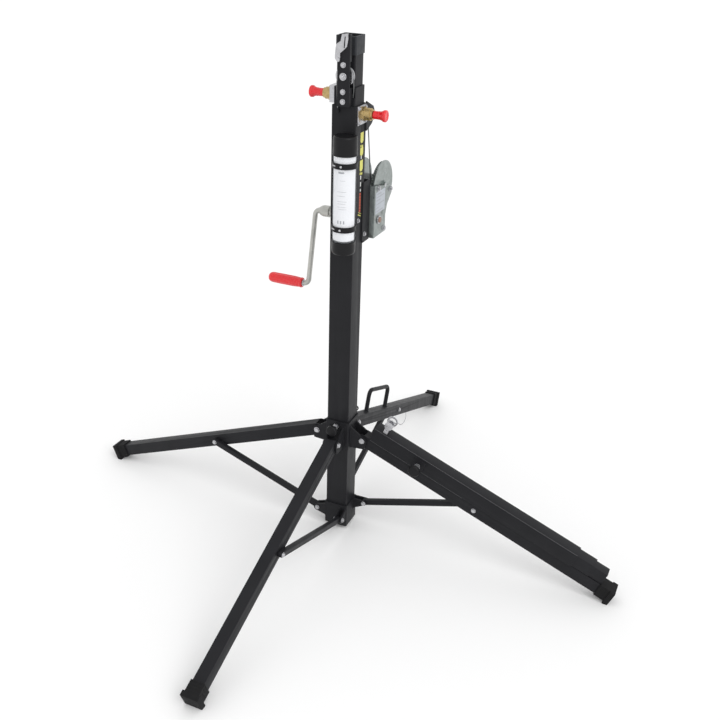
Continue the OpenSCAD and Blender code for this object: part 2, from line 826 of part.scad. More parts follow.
module cable_drum() {
    color("#b4b8b6") difference() {
        union() {
            for (x = [-24, 50]) tube_x(flange_r, x, x + 3, drum_axis[0], drum_axis[1]);
            tube_x(66, 36, 38, drum_axis[0], drum_axis[1]);
            tube_x(20, -22, 51, drum_axis[0], drum_axis[1]);
            tube_x(coil_r, -20.5, 35.5, drum_axis[0], drum_axis[1]);
            gear(drum_teeth, idler_angle, 40, 49, drum_axis);
            tube_x(14, frame_left + 4, frame_right - 4, drum_axis[0], drum_axis[1]);
        }
        tube_x(6 + run_gap, -60, 80, drum_axis[0], drum_axis[1]);
    }
}

module idler_gear() {
    color("#9fa3a4") {
        gear(pinion_teeth, idler_angle + 180 + 180 / pinion_teeth, 40, 49, idler_axis);
        gear(idler_teeth, input_from_idler, 24, 33, idler_axis);
        tube_x(7, frame_left, frame_right + 1, idler_axis[0], idler_axis[1]);
    }
}

module input_shaft() {
    color("#8f7f78") {
        tube_x(9, -112, frame_right + 7, input_axis[0], input_axis[1]);
        gear(pinion_teeth, input_from_idler + 180 + 180 / pinion_teeth, 24, 33, input_axis);
        // load brake disc
        tube_x(29, -26, -16, input_axis[0], input_axis[1]);
        tube_x(16, -41, -26, input_axis[0], input_axis[1]);
    }
}

module crank_frame() {
    translate([0, input_axis[0], input_axis[1]]) rotate([-crank_turn, 0, 0]) children();
}

crank_rod_r = 8.5;
crank_bend = 17;
crank_arm_x = -165;

module crank_arm() {
    color("#b9bab6") crank_frame() {
        translate([crank_arm_x + crank_bend, 0, -crank_bend]) rotate([90, 0, 0]) rotate([0, 0, 90])
            rotate_extrude(angle = 90) translate([crank_bend, 0]) circle(crank_rod_r);
        translate([crank_arm_x, 0, -crank_len + crank_bend])
            cylinder(r = crank_rod_r, h = crank_len - 2 * crank_bend);
        translate([crank_arm_x - crank_bend, 0, -crank_len + crank_bend]) rotate([90, 0, 0]) rotate([0, 0, -90])
            rotate_extrude(angle = 90) translate([crank_bend, 0]) circle(crank_rod_r);
        tube_x(crank_rod_r, -184, crank_arm_x - crank_bend, 0, -crank_len);
        tube_x(6, -306, -184, 0, -crank_len);
        // hub, tapering into the rod
        translate([-146, 0, 0]) rotate([90, 0, 90]) rotate_extrude()
            polygon([[0, -6], [9, -6], [16, 4], [19, 12], [19, 34], [0, 34]]);
        difference() {
            tube_x(14, -112, -80);
            tube_x(9, -112, -70);
        }
    }
}

module crank_grip() {
    color("#c8161d") crank_frame() difference() {
        translate([-318, 0, -crank_len]) rotate([90, 0, 90]) rotate_extrude()
            polygon([[0, 0], [7, 1], [12, 3.5], [16, 8.5], [18, 16], [18.5, 60], [18, 124],
                     [16.5, 132], [0, 132]]);
        tube_x(6 + run_gap, -307, -180, 0, -crank_len);
    }
}

module rear_pulley() {
    color("#c9cccd") difference() {
        translate([winch_cable_x - 6, rear_pulley[0], rear_pulley[1]]) rotate([90, 0, 90]) rotate_extrude()
            polygon([[0, 0], [29, 0], [29, 1.5], [24.9, 3.5], [24.9, 8.5], [29, 10.5], [29, 12], [0, 12]]);
        tube_x(5 + run_gap, 0, 60, rear_pulley[0], rear_pulley[1]);
    }
}

module head_pulley() {
    color("#d5d8d9") difference() {
        translate([head_x, head_pulley_y - 6, head_pulley_z]) rotate([-90, 0, 0]) rotate_extrude()
            polygon([[0, 0], [28.4, 0], [28.4, 1.5], [24.6, 3.5], [24.6, 8.5], [28.4, 10.5], [28.4, 12],
                     [0, 12]]);
        tube_y(4 + run_gap, -60, -30, head_x, head_pulley_z);
    }
}

// Bent steel catch on the left edge of the head bracket
module catch_lever() {
    color("#c6c9c8") difference() {
        plate_y(-64, -60.4) difference() {
            polygon([[1, 1742.7], [20.4, 1746], [21.2, 1731], [17.3, 1710], [10.5, 1702.8], [-4, 1690.5],
                     [-3.5, 1672], [-5.5, 1668.2], [-9.5, 1666], [-15, 1668.7], [-20, 1674.5],
                     [-20.3, 1684], [-18.4, 1703.4], [-16.3, 1714.9], [-11, 1718.8], [-3, 1724]]);
            polygon([[9.7, 1737], [13, 1737], [10.5, 1705.5], [7, 1705]]);
        }
        tube_y(3 + run_gap, -70, -50, catch_pivot[0], catch_pivot[1]);
    }
}

outer_tube();
mast_end_plug();
lower_collar();
lower_collar_bolts();
outer_guide_pads();
rear_gussets();
rear_pulley_axle();
winch_channel();
winch_frame();
winch_spacers();
document_tube();
document_tube_caps();
document_roll();
document_clips();
outer_plunger_plate();
outer_plunger_bush();
mast_bolts();
winch_cable();
middle_tube();
middle_base_block();
middle_guide_pads();
head_bracket();
head_bolts();
middle_plunger_plate();
middle_plunger_bush();
lift_cable();
inner_tube();
inner_base_block();
inner_cap();
leg_collar();
leg_hinge_bolts();
collar_eye();
leg_front();
leg_left();
leg_back();
leg_right();
foot_front();
foot_left();
foot_back();
foot_right();
strut_front();
strut_left();
strut_back();
strut_right();
carry_handle();
leg_sleeve();
leg_extension();
leg_sleeve_fittings();
cable_drum();
idler_gear();
input_shaft();
crank_arm();
crank_grip();
rear_pulley();
head_pulley();
outer_plunger_knob();
middle_plunger_knob();
collar_knob();
leg_knob();
catch_lever();
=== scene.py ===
"""Finished pieces and materials of a crank lighting stand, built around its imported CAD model."""

import json
from math import acos, atan2, cos, pi, radians, sin

import bmesh
import bpy
from mathutils import Matrix, Vector

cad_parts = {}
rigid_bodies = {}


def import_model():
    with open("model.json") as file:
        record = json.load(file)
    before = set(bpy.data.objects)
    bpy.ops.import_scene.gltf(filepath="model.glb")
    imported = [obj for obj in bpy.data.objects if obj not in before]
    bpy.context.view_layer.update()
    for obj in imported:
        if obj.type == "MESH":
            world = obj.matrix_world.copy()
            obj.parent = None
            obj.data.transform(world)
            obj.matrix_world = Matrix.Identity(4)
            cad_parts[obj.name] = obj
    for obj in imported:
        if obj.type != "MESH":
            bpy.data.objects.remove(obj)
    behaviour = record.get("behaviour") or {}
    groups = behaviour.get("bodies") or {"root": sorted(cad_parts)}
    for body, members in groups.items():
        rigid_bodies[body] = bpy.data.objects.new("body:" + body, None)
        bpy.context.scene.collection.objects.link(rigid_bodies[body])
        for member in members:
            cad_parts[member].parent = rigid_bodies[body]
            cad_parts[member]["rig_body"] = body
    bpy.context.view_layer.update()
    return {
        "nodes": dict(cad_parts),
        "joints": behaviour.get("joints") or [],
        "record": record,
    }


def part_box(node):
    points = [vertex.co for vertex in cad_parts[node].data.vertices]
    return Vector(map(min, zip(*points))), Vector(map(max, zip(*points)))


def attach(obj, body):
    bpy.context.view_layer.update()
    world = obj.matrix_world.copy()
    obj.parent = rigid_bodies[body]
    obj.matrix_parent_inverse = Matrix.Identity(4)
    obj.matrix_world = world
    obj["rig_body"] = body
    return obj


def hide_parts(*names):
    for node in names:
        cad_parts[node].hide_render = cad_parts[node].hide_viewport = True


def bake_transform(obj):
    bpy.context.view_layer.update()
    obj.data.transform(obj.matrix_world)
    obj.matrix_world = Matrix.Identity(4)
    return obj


bl_info = {
    "name": "Crank lighting stand",
    "version": (1, 0, 0),
    "blender": (4, 5, 0),
    "location": "View3D > Sidebar > Stand",
    "description": "Builds the finished pieces and materials of a wind-up lighting stand",
    "category": "Object",
}

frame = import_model()
NODES = frame["nodes"]
JOINTS = {joint["name"]: joint for joint in frame["joints"]}
LEGS = ("front", "left", "back", "right")
MM = 0.001
X, Y, Z = Vector((1, 0, 0)), Vector((0, 1, 0)), Vector((0, 0, 1))


def vec(values):
    """Vector of three millimetre values, in metres."""
    return Vector(values) * MM


def low(node):
    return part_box(node)[0]


def high(node):
    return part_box(node)[1]


def middle(node):
    return (low(node) + high(node)) / 2


def joint_at(name):
    return Vector(JOINTS[name]["pos_m"])


class Leg:
    """Directions and pivots of one spread leg, from its joints."""

    def __init__(self, name):
        self.body = "leg_" + name
        self.hinge = joint_at("leg_" + name + "_fold")
        self.pivot = joint_at("strut_" + name + "_fold")
        self.along = (self.pivot - self.hinge).normalized()
        self.side = Vector(JOINTS["leg_" + name + "_fold"]["axis"])
        self.up = self.along.cross(self.side)
        if self.up.z < 0:
            self.up.negate()

    def at(self, s, t=0.0, n=0.0):
        """Point s along the leg from its hinge, t to its side and n above it, in millimetres."""
        return self.hinge + (self.along * s + self.side * t + self.up * n) * MM


# ---------- sizes and colours that a user would change ----------


def length(name, description, default):
    return bpy.props.FloatProperty(
        name=name, description=description, default=default, unit="LENGTH", precision=4
    )


def colour(name, description, default):
    return bpy.props.FloatVectorProperty(
        name=name, description=description, default=default, size=3, subtype="COLOR", min=0, max=1
    )


class StandSizes(bpy.types.PropertyGroup):
    """Sizes of the finishing details."""

    sheet_edge: length("Sheet edge", "Rounding of the edges of tubes and channels", 0.6 * MM)
    moulded_edge: length("Moulded edge", "Rounding of the edges of plastic and rubber", 1.6 * MM)
    weld: length("Weld bead", "Radius of a weld bead", 1.9 * MM)
    rope: length("Rope", "Radius of the steel cable", 2.0 * MM)
    rope_lay: length("Rope lay", "Length in which a strand of the cable turns once", 26 * MM)
    print_lift: length("Print thickness", "Thickness of printed films and labels", 0.18 * MM)
    knob_ribs: bpy.props.IntProperty(
        name="Knob ribs", description="Ribs round each black knob", default=20, min=6
    )
    grip_flutes: bpy.props.IntProperty(
        name="Grip flutes", description="Flutes along the crank's grip", default=9, min=3
    )


class StandColours(bpy.types.PropertyGroup):
    """Colours of the finishes."""

    coat: colour("Powder coat", "Black powder coat of the tubes", (0.0115, 0.0117, 0.0135))
    coat_worn: colour("Worn coat", "Rubbed powder coat", (0.022, 0.022, 0.023))
    galvanised: colour("Galvanised steel", "Winch frame and drum", (0.27, 0.30, 0.29))
    zinc: colour("Zinc plate", "Bolts and plates", (0.54, 0.54, 0.56))
    crank: colour("Crank steel", "Crank rod", (0.52, 0.52, 0.49))
    brass: colour("Brass", "Bodies of the spring bolts", (0.52, 0.38, 0.17))
    red: colour("Red plastic", "Crank grip and pull knobs", (0.76, 0.010, 0.016))
    paper: colour("Paper", "Sheet in the document tube", (0.84, 0.84, 0.86))
    yellow: colour("Yellow print", "Blocks of the height scale", (0.64, 0.62, 0.13))
    orange: colour("Red print", "Lower marks of the height scale", (0.62, 0.10, 0.04))
    floor: colour("Floor", "Studio floor", (0.90, 0.90, 0.90))


def sizes():
    return bpy.context.scene.stand_sizes


def colours():
    return bpy.context.scene.stand_colours


# ---------- node trees ----------


def wired(tree, kind, inputs=(), **settings):
    """A new node with its settings, each input set to a value or linked to an output."""
    made = tree.nodes.new(kind)
    for name, value in settings.items():
        setattr(made, name, value)
    for name, value in dict(inputs).items():
        if isinstance(value, bpy.types.NodeSocket):
            tree.links.new(value, made.inputs[name])
        else:
            made.inputs[name].default_value = value
    return made


def geometry_tree(name, **inputs):
    """A node tree with a geometry input and output and the named inputs, and its input sockets."""
    tree = bpy.data.node_groups.new(name, "GeometryNodeTree")
    sockets = [("Geometry", "INPUT", "Geometry")]
    sockets += [(label, "INPUT", kind) for label, kind in inputs.items()]
    for label, way, kind in [*sockets, ("Geometry", "OUTPUT", "Geometry")]:
        tree.interface.new_socket(name=label, in_out=way, socket_type="NodeSocket" + kind)
    return tree, tree.nodes.new("NodeGroupInput").outputs


def repeated(tree, start, inputs):
    """Ends a tree: instances on points, then Realize Instances and Set Material."""
    place = wired(tree, "GeometryNodeInstanceOnPoints", inputs)
    realize = wired(tree, "GeometryNodeRealizeInstances", {"Geometry": place.outputs["Instances"]})
    paint = wired(tree, "GeometryNodeSetMaterial",
                  {"Geometry": realize.outputs["Geometry"], "Material": start["Material"]})
    wired(tree, "NodeGroupOutput", {"Geometry": paint.outputs["Geometry"]})
    return tree


def heads_tree():
    """Sets a fitting on each point, facing the way that the point's own attribute says."""
    tree, start = geometry_tree("fittings_on_points", Fitting="Object", Material="Material")

    def attribute(name):
        made = wired(tree, "GeometryNodeInputNamedAttribute", {"Name": name}, data_type="FLOAT_VECTOR")
        return made.outputs["Attribute"]

    fitting = wired(tree, "GeometryNodeObjectInfo", {"Object": start["Fitting"]})
    align = wired(tree, "FunctionNodeAlignRotationToVector", {"Vector": attribute("facing")}, axis="Z")
    return repeated(tree, start, {"Points": start["Geometry"], "Instance": fitting.outputs["Geometry"],
                                  "Rotation": align.outputs["Rotation"], "Scale": attribute("size")})


def beads_tree():
    """Rows of small overlapping beads along edges, as a weld leaves them."""
    tree, start = geometry_tree("weld_beads", Radius="Float", Seed="Int", Material="Material")
    curve = wired(tree, "GeometryNodeMeshToCurve", {"Mesh": start["Geometry"]})
    spread = wired(tree, "GeometryNodeResampleCurve",
                   {"Curve": curve.outputs["Curve"], "Length": start["Radius"]}, mode="LENGTH")
    ball = wired(tree, "GeometryNodeMeshIcoSphere", {"Subdivisions": 2, "Radius": start["Radius"]})
    uneven = wired(tree, "FunctionNodeRandomValue",
                   {"Min": (0.8, 0.8, 0.8), "Max": (1.15, 1.15, 1.15), "Seed": start["Seed"]},
                   data_type="FLOAT_VECTOR")
    return repeated(tree, start, {"Points": spread.outputs["Curve"], "Instance": ball.outputs["Mesh"],
                                  "Scale": uneven.outputs["Value"]})


def coils_tree():
    """Turns of cable side by side on each point, round the X axis."""
    tree, start = geometry_tree("cable_turns", Turn="Float", Cable="Float", Material="Material")
    circle, section = (
        wired(tree, "GeometryNodeCurvePrimitiveCircle", {"Resolution": count, "Radius": radius})
        for count, radius in ((64, start["Turn"]), (10, start["Cable"])))
    solid = wired(tree, "GeometryNodeCurveToMesh",
                  {"Curve": circle.outputs["Curve"], "Profile Curve": section.outputs["Curve"]})
    return repeated(tree, start, {"Points": start["Geometry"], "Instance": solid.outputs["Mesh"],
                                  "Rotation": (0, pi / 2, 0)})


# ---------- materials ----------


class Finish:
    """One procedural material: a Principled shader with helpers for the nodes that feed it."""

    def __init__(self, name, base, roughness, metallic=0.0, sockets=()):
        self.material = bpy.data.materials.new(name)
        self.material.use_nodes = True
        self.tree = self.material.node_tree
        self.shader = self.tree.nodes["Principled BSDF"]
        self.base = tuple(base)
        values = {"Base Color": (*base, 1), "Roughness": roughness, "Metallic": metallic}
        for socket, value in {**values, **dict(sockets)}.items():
            self.shader.inputs[socket].default_value = value
        self.material.diffuse_color = (*base, 1)
        self.place = self.node("TexCoord").outputs["Object"]
        self.bumped = None

    def node(self, kind, inputs=(), **settings):
        return wired(self.tree, "ShaderNode" + kind, inputs, **settings)

    def stretched(self, scale):
        """Object coordinates, scaled differently along each axis."""
        return self.node("Mapping", {"Scale": scale, "Vector": self.place}).outputs["Vector"]

    def noise(self, scale, detail, place=None, roughness=0.55):
        return self.node("TexNoise", {"Scale": scale, "Detail": detail, "Roughness": roughness,
                                      "Vector": place or self.place}).outputs["Fac"]

    def cells(self, scale):
        made = self.node("TexVoronoi", {"Scale": scale, "Vector": self.place}, feature="F1")
        return made.outputs["Color"]

    def rings(self, scale):
        made = self.node("TexWave", {"Scale": scale, "Vector": self.place}, wave_type="BANDS",
                         bands_direction="X")
        return made.outputs["Fac"]

    def ramp(self, value, start, end, low_value=0.0, high_value=1.0):
        return self.node("MapRange", {"From Min": start, "From Max": end, "To Min": low_value,
                                      "To Max": high_value, "Value": value}).outputs["Result"]

    def tint(self, factor, other):
        """Mixes another colour into what the base colour is so far."""
        socket = self.shader.inputs["Base Color"]
        so_far = socket.links[0].from_socket if socket.is_linked else (*self.base, 1)
        made = self.node("Mix", {"A": so_far, "B": (*other, 1), "Factor": factor}, data_type="RGBA")
        self.tree.links.new(made.outputs["Result"], socket)
        return self

    def rough(self, value, start, end, low_value, high_value):
        ramp = self.ramp(value, start, end, low_value, high_value)
        self.tree.links.new(ramp, self.shader.inputs["Roughness"])
        return self

    def bump(self, value, distance, strength):
        inputs = {"Distance": distance, "Strength": strength, "Height": value}
        if self.bumped:
            inputs["Normal"] = self.bumped
        self.bumped = self.node("Bump", inputs).outputs["Normal"]
        self.tree.links.new(self.bumped, self.shader.inputs["Normal"])
        return self


def shade(base, factor):
    return tuple(min(1.0, value * factor) for value in base)


def surface(name, base, roughness, metallic=0.0, patches=None, gloss=None, grain=None, rings=None,
            sockets=()):
    """A finish with patches of another shade, uneven gloss, and a fine grain or turning marks.

    base is a colour or the name of one of the stand's colours. patches gives a noise scale, its
    detail, where the patches start and are full, their strength, and their colour or shade. gloss
    gives a noise scale, its detail and the lowest and highest roughness. grain gives a noise scale,
    its detail, the depth in millimetres and the strength, and rings the same without the detail.
    """
    if isinstance(base, str):
        base = getattr(colours(), base)
    made = Finish(name, base, roughness, metallic, sockets)
    if patches:
        scale, detail, start, end, strength, other = patches
        if not isinstance(other, tuple):
            other = shade(base, other)
        made.tint(made.ramp(made.noise(scale, detail), start, end, 0, strength), other)
    if gloss:
        scale, detail, low_value, high_value = gloss
        made.rough(made.noise(scale, detail), 0.3, 0.7, low_value, high_value)
    if grain:
        scale, detail, depth, strength = grain
        made.bump(made.noise(scale, detail), depth * MM, strength)
    if rings:
        scale, depth, strength = rings
        made.bump(made.rings(scale), depth * MM, strength)
    return made


def powder_coat(name):
    c = colours()
    made = Finish(name, c.coat, 0.46, sockets={"Specular IOR Level": 0.16})
    scuff = made.noise(38, 6, made.stretched((1, 1, 0.22)), 0.7)
    made.tint(made.ramp(made.noise(9, 4), 0.3, 0.7), shade(c.coat, 1.3))
    made.tint(made.ramp(scuff, 0.62, 0.82, 0, 0.3), c.coat_worn)
    made.rough(scuff, 0.3, 0.8, 0.42, 0.56)
    return made.bump(made.noise(1500, 2), 0.12 * MM, 0.35).bump(made.noise(260, 2), 0.10 * MM, 0.2)


def galvanised_steel(name):
    c = colours()
    made = Finish(name, c.galvanised, 0.36, 0.82)
    grain = made.node("SeparateColor", {"Color": made.cells(150)})
    made.tint(made.ramp(grain.outputs["Red"], 0, 1, 0, 0.5), shade(c.galvanised, 1.35))
    made.tint(made.ramp(made.noise(26, 4), 0.45, 0.75, 0, 0.5), shade(c.galvanised, 0.62))
    made.rough(grain.outputs["Green"], 0, 1, 0.27, 0.44)
    return made.bump(made.noise(420, 3), 0.10 * MM, 0.25)


def clear_plastic(name):
    made = surface(name, (0.80, 0.84, 0.88), 0.08, gloss=(30, 3, 0.05, 0.16), grain=(14, 2, 0.2, 0.15),
                   sockets={"Alpha": 0.10, "Specular IOR Level": 0.7})
    made.material.blend_method = "BLEND"
    return made


def moulded(base, roughness, grain_scale, depth):
    """Plastic or rubber with a fine moulded grain."""
    return lambda name: surface(
        name, base, roughness, patches=(22, 4, 0.35, 0.7, 0.6, 1.3),
        gloss=(70, 4, roughness - 0.08, roughness + 0.08), grain=(grain_scale, 2, depth, 0.45),
        sockets={"Specular IOR Level": 0.2})


def printed(base, roughness=0.5):
    """Film print or thin paint, slightly uneven."""
    return lambda name: surface(name, base, roughness, patches=(210, 4, 0.45, 0.72, 0.6, 0.72),
                                grain=(1100, 2, 0.03, 0.3))


def worked(base, roughness, metallic, **layers):
    """Any other surface, from its layers."""
    return lambda name: surface(name, base, roughness, metallic, **layers)


# Each finish: the name of its material, and what makes it
RECIPES = {
    "black_powder_coat": ("powder_coat", powder_coat),
    "galvanised_steel": ("galvanised_steel", galvanised_steel),
    "clear_plastic": ("clear_plastic", clear_plastic),
    "zinc_plate": ("zinc_plate", worked(
        "zinc", 0.27, 0.95, patches=(90, 4, 0.4, 0.75, 0.55, 0.62), gloss=(240, 3, 0.20, 0.38),
        grain=(900, 2, 0.06, 0.3))),
    "crank_steel": ("crank_steel", worked(
        "crank", 0.38, 0.55, patches=(30, 5, 0.4, 0.7, 0.6, 0.72), gloss=(120, 3, 0.30, 0.48),
        grain=(700, 2, 0.08, 0.3))),
    "brass": ("turned_brass", worked(
        "brass", 0.28, 0.95, patches=(110, 4, 0.4, 0.7, 0.6, 0.6), gloss=(300, 3, 0.22, 0.40),
        rings=(260, 0.12, 0.5))),
    "red_plastic": ("red_plastic", worked(
        "red", 0.24, 0.0, patches=(40, 3, 0.35, 0.7, 0.5, 0.86), gloss=(190, 3, 0.18, 0.34),
        grain=(620, 2, 0.05, 0.3), sockets={"Coat Weight": 0.35})),
    "paper": ("paper", worked(
        "paper", 0.72, 0.0, patches=(260, 5, 0.4, 0.7, 0.3, 0.92), grain=(900, 3, 0.05, 0.3))),
    "wire_rope": ("wire_rope", worked(
        (0.22, 0.23, 0.23), 0.42, 0.85, patches=(500, 3, 0.4, 0.7, 0.8, (0.12, 0.12, 0.12)),
        gloss=(300, 3, 0.32, 0.55), grain=(1600, 2, 0.08, 0.5))),
    "copper_brown": ("bronzed_shaft", worked(
        (0.26, 0.15, 0.11), 0.38, 0.8, patches=(160, 4, 0.4, 0.7, 0.7, (0.38, 0.30, 0.27)),
        rings=(340, 0.05, 0.4))),
    "floor": ("studio_floor", worked("floor", 0.85, 0.0, patches=(1.3, 3, 0.3, 0.7, 0.3, 0.985))),
    "black_plastic": ("black_plastic", moulded((0.007, 0.007, 0.008), 0.36, 700, 0.06)),
    "grey_plastic": ("grey_plastic", moulded((0.026, 0.028, 0.032), 0.5, 600, 0.08)),
    "rubber": ("rubber", moulded((0.008, 0.008, 0.0085), 0.72, 420, 0.14)),
    "white_nylon": ("white_nylon", moulded((0.62, 0.61, 0.57), 0.5, 500, 0.05)),
    "yellow_print": ("yellow_print", printed("yellow")),
    "orange_print": ("orange_print", printed("orange")),
    "white_print": ("white_print", printed((0.70, 0.70, 0.68))),
    "grey_print": ("grey_print", printed((0.30, 0.31, 0.33))),
    # Lighter grey for the thin lines on the sleeve's edges: a painted highlight where the rounded edges catch
    # the light.
    "rubbed_coat": ("rubbed_coat", printed((0.085, 0.086, 0.092), 0.4)),
    "label_film": ("label_film", printed((0.40, 0.43, 0.47), 0.42)),
}
made_finishes = {}


def finish(name):
    """The material of that name, made the first time that it is asked for."""
    if name not in made_finishes:
        title, recipe = RECIPES[name]
        made_finishes[name] = recipe(title).material
    return made_finishes[name]


# ---------- mesh helpers ----------


def mesh_of(name, bm):
    """The bmesh as a mesh, its faces turned outwards."""
    mesh = bpy.data.meshes.new(name)
    bmesh.ops.recalc_face_normals(bm, faces=bm.faces)
    bm.to_mesh(mesh)
    bm.free()
    return mesh


def piece(name, bm, materials, body, replaces=(), smooth=35):
    """Turns a bmesh into a finished piece that rides on a body."""
    mesh = mesh_of(name, bm)
    for material in materials:
        mesh.materials.append(finish(material))
    return placed(name, mesh, body, replaces, smooth)


def placed(name, mesh, body, replaces=(), smooth=35):
    """Adds a mesh to the scene as a piece on a body, sharp where its faces meet steeply."""
    mesh.polygons.foreach_set("use_smooth", [True] * len(mesh.polygons))
    mesh.set_sharp_from_angle(angle=radians(smooth))
    made = bpy.data.objects.new(name, mesh)
    bpy.context.scene.collection.objects.link(made)
    if body:
        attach(made, body)
    if replaces:
        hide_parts(*replaces)
    return made


def copied(node):
    """A merged copy of a CAD node, with its flat faces joined."""
    bm = bmesh.new()
    bm.from_mesh(NODES[node].data)
    bmesh.ops.remove_doubles(bm, verts=bm.verts, dist=0.02 * MM)
    bmesh.ops.dissolve_limit(bm, angle_limit=radians(0.6), verts=bm.verts, edges=bm.edges)
    return bm


def softened(node, material, width, paint=None, extra=(), segments=2):
    """A CAD node with rounded edges. paint picks a face's material from its centre."""
    bm = copied(node)
    sharp = [e for e in bm.edges if len(e.link_faces) == 2 and e.calc_face_angle(0) > radians(30)]
    bmesh.ops.bevel(bm, geom=sharp, offset=width, segments=segments, profile=0.6, affect="EDGES",
                    clamp_overlap=True)
    if paint:
        for face in bm.faces:
            face.material_index = paint(face.calc_center_median())
    return piece(node + "_finished", bm, (material, *extra), NODES[node]["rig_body"], (node,))


def basis(axis):
    """Two directions square to an axis."""
    axis = axis.normalized()
    first = (Z if abs(axis.z) < 0.9 else X).cross(axis).normalized()
    return first, axis.cross(first)


def loft(bm, rings, material=0, closed=True):
    """Skins rings of equal length. closed caps both ends."""
    loops = [[bm.verts.new(point) for point in ring] for ring in rings]
    count = len(loops[0])
    for first, second in zip(loops, loops[1:]):
        for k in range(count):
            face = bm.faces.new((first[k], first[(k + 1) % count], second[(k + 1) % count], second[k]))
            face.material_index = material
    if closed:
        for ring in (loops[0][::-1], loops[-1]):
            bm.faces.new(ring).material_index = material
    return loops


def lathe(bm, origin, axis, profile, segments=48, material=0, wave=None):
    """Turns (height, radius) points about an axis. wave(height, angle) adds to the radius."""
    first, second = basis(axis)
    rings = []
    for height, radius in profile:
        ring = []
        for k in range(segments):
            angle = 2 * pi * k / segments
            r = radius + (wave(height, angle) if wave else 0)
            ring.append(origin + (axis * height + (first * cos(angle) + second * sin(angle)) * r) * MM)
        rings.append(ring)
    return loft(bm, rings, material)


def rounded_profile(points, radius, steps=3):
    """Replaces each inner corner of a (height, radius) outline with a short curve."""
    made = [points[0]]
    for before, corner, after in zip(points, points[1:], points[2:]):
        corner = Vector(corner)
        into, out = Vector(before) - corner, Vector(after) - corner
        reach = min(radius, into.length * 0.45, out.length * 0.45)
        start, end = corner + into.normalized() * reach, corner + out.normalized() * reach
        for k in range(steps + 1):
            f = k / steps
            made.append(tuple(start * (1 - f) ** 2 + corner * 2 * f * (1 - f) + end * f**2))
    return made + [points[-1]]


def cuboid(bm, low_corner, high_corner, material=0, turn=None, bevel=0.0):
    """Box between two corners in metres, with rounded edges, turned by a matrix."""
    size = high_corner - low_corner
    place = Matrix.Translation((low_corner + high_corner) / 2) @ Matrix.Diagonal((*size, 1))
    made = bmesh.ops.create_cube(bm, size=1, matrix=place)["verts"]
    faces = {f for v in made for f in v.link_faces}
    if bevel:
        edges = list({e for v in made for e in v.link_edges})
        faces |= set(bmesh.ops.bevel(bm, geom=edges, offset=bevel, segments=2, profile=0.6,
                                     affect="EDGES", clamp_overlap=True)["faces"])
    faces = [f for f in faces if f.is_valid]
    for face in faces:
        face.material_index = material
    if turn:
        bmesh.ops.transform(bm, matrix=turn, verts=list({v for f in faces for v in f.verts}))


def across_path(points):
    """Each point of a path with two directions square to it, carried along without twisting."""
    side = basis(points[1] - points[0])[0]
    for i, point in enumerate(points):
        tangent = (points[min(i + 1, len(points) - 1)] - points[max(i - 1, 0)]).normalized()
        side = (side - tangent * side.dot(tangent)).normalized()
        yield point, side, tangent.cross(side)


def rope(name, points, body, replaces=()):
    """Six-strand cable along smooth points in metres."""
    radius, lay = sizes().rope, sizes().rope_lay
    path = resampled(points, 2.4 * MM)
    bm = bmesh.new()
    travelled, before = 0.0, path[0]
    rings = []
    for point, side, other in across_path(path):
        travelled += (point - before).length
        before = point
        twist = 2 * pi * travelled / lay
        ring = []
        for k in range(24):
            angle = 2 * pi * k / 24
            r = radius * (0.9 + 0.1 * abs(sin(3 * (angle - twist))))
            ring.append(point + (side * cos(angle) + other * sin(angle)) * r)
        rings.append(ring)
    loft(bm, rings)
    return piece(name, bm, ("wire_rope",), body, replaces, smooth=60)


def resampled(points, step):
    """Points at even spacing along a Catmull-Rom curve."""
    ends = [points[0] * 2 - points[1], *points, points[-1] * 2 - points[-2]]
    made = [points[0]]
    for a, b, c, d in zip(ends, ends[1:], ends[2:], ends[3:]):
        count = max(1, round((c - b).length / step))
        for k in range(1, count + 1):
            f = k / count
            made.append(0.5 * (2 * b + (c - a) * f + (2 * a - 5 * b + 4 * c - d) * f**2
                               + (3 * b - a - 3 * c + d) * f**3))
    return made


def wire(bm, points, radius):
    """Round wire along smooth points in metres."""
    turns = [2 * pi * k / 8 for k in range(8)]
    loft(bm, [[point + (side * cos(a) + other * sin(a)) * radius for a in turns]
              for point, side, other in across_path(points)])


def grown(name, mesh, tree, values, body, smooth=35):
    """Runs a node tree on a mesh and keeps the result as a plain piece."""
    seed = bpy.data.objects.new(name + "_seed", mesh)
    bpy.context.scene.collection.objects.link(seed)
    modifier = seed.modifiers.new("grow", "NODES")
    modifier.node_group = tree
    for socket in tree.interface.items_tree:
        if socket.in_out == "INPUT" and socket.name in values:
            modifier[socket.identifier] = values[socket.name]
    bpy.context.view_layer.update()
    evaluated = seed.evaluated_get(bpy.context.evaluated_depsgraph_get())
    result = bpy.data.meshes.new_from_object(evaluated)
    result.name = name
    seed.modifiers.remove(modifier)
    bpy.data.objects.remove(seed)
    return placed(name, result, body, smooth=smooth)


def points_mesh(name, spots):
    """Loose vertices, each with the way it faces and its size in millimetres."""
    mesh = bpy.data.meshes.new(name)
    mesh.from_pydata([spot[0] for spot in spots], [], [])
    facing = mesh.attributes.new("facing", "FLOAT_VECTOR", "POINT")
    size = mesh.attributes.new("size", "FLOAT_VECTOR", "POINT")
    for i, (_, direction, scale) in enumerate(spots):
        facing.data[i].vector = direction
        size.data[i].vector = scale
    return mesh


def hidden_fitting(name, bm):
    """A fitting of unit radius, kept out of the scene, that a node tree repeats."""
    return bpy.data.objects.new(name, mesh_of(name, bm))


def unit_lathe(bm, profile, segments):
    """Turns an outline about Z in units of the head's radius, which lathe takes as metres."""
    lathe(bm, Vector(), Z, [(height / MM, radius / MM) for height, radius in profile], segments)


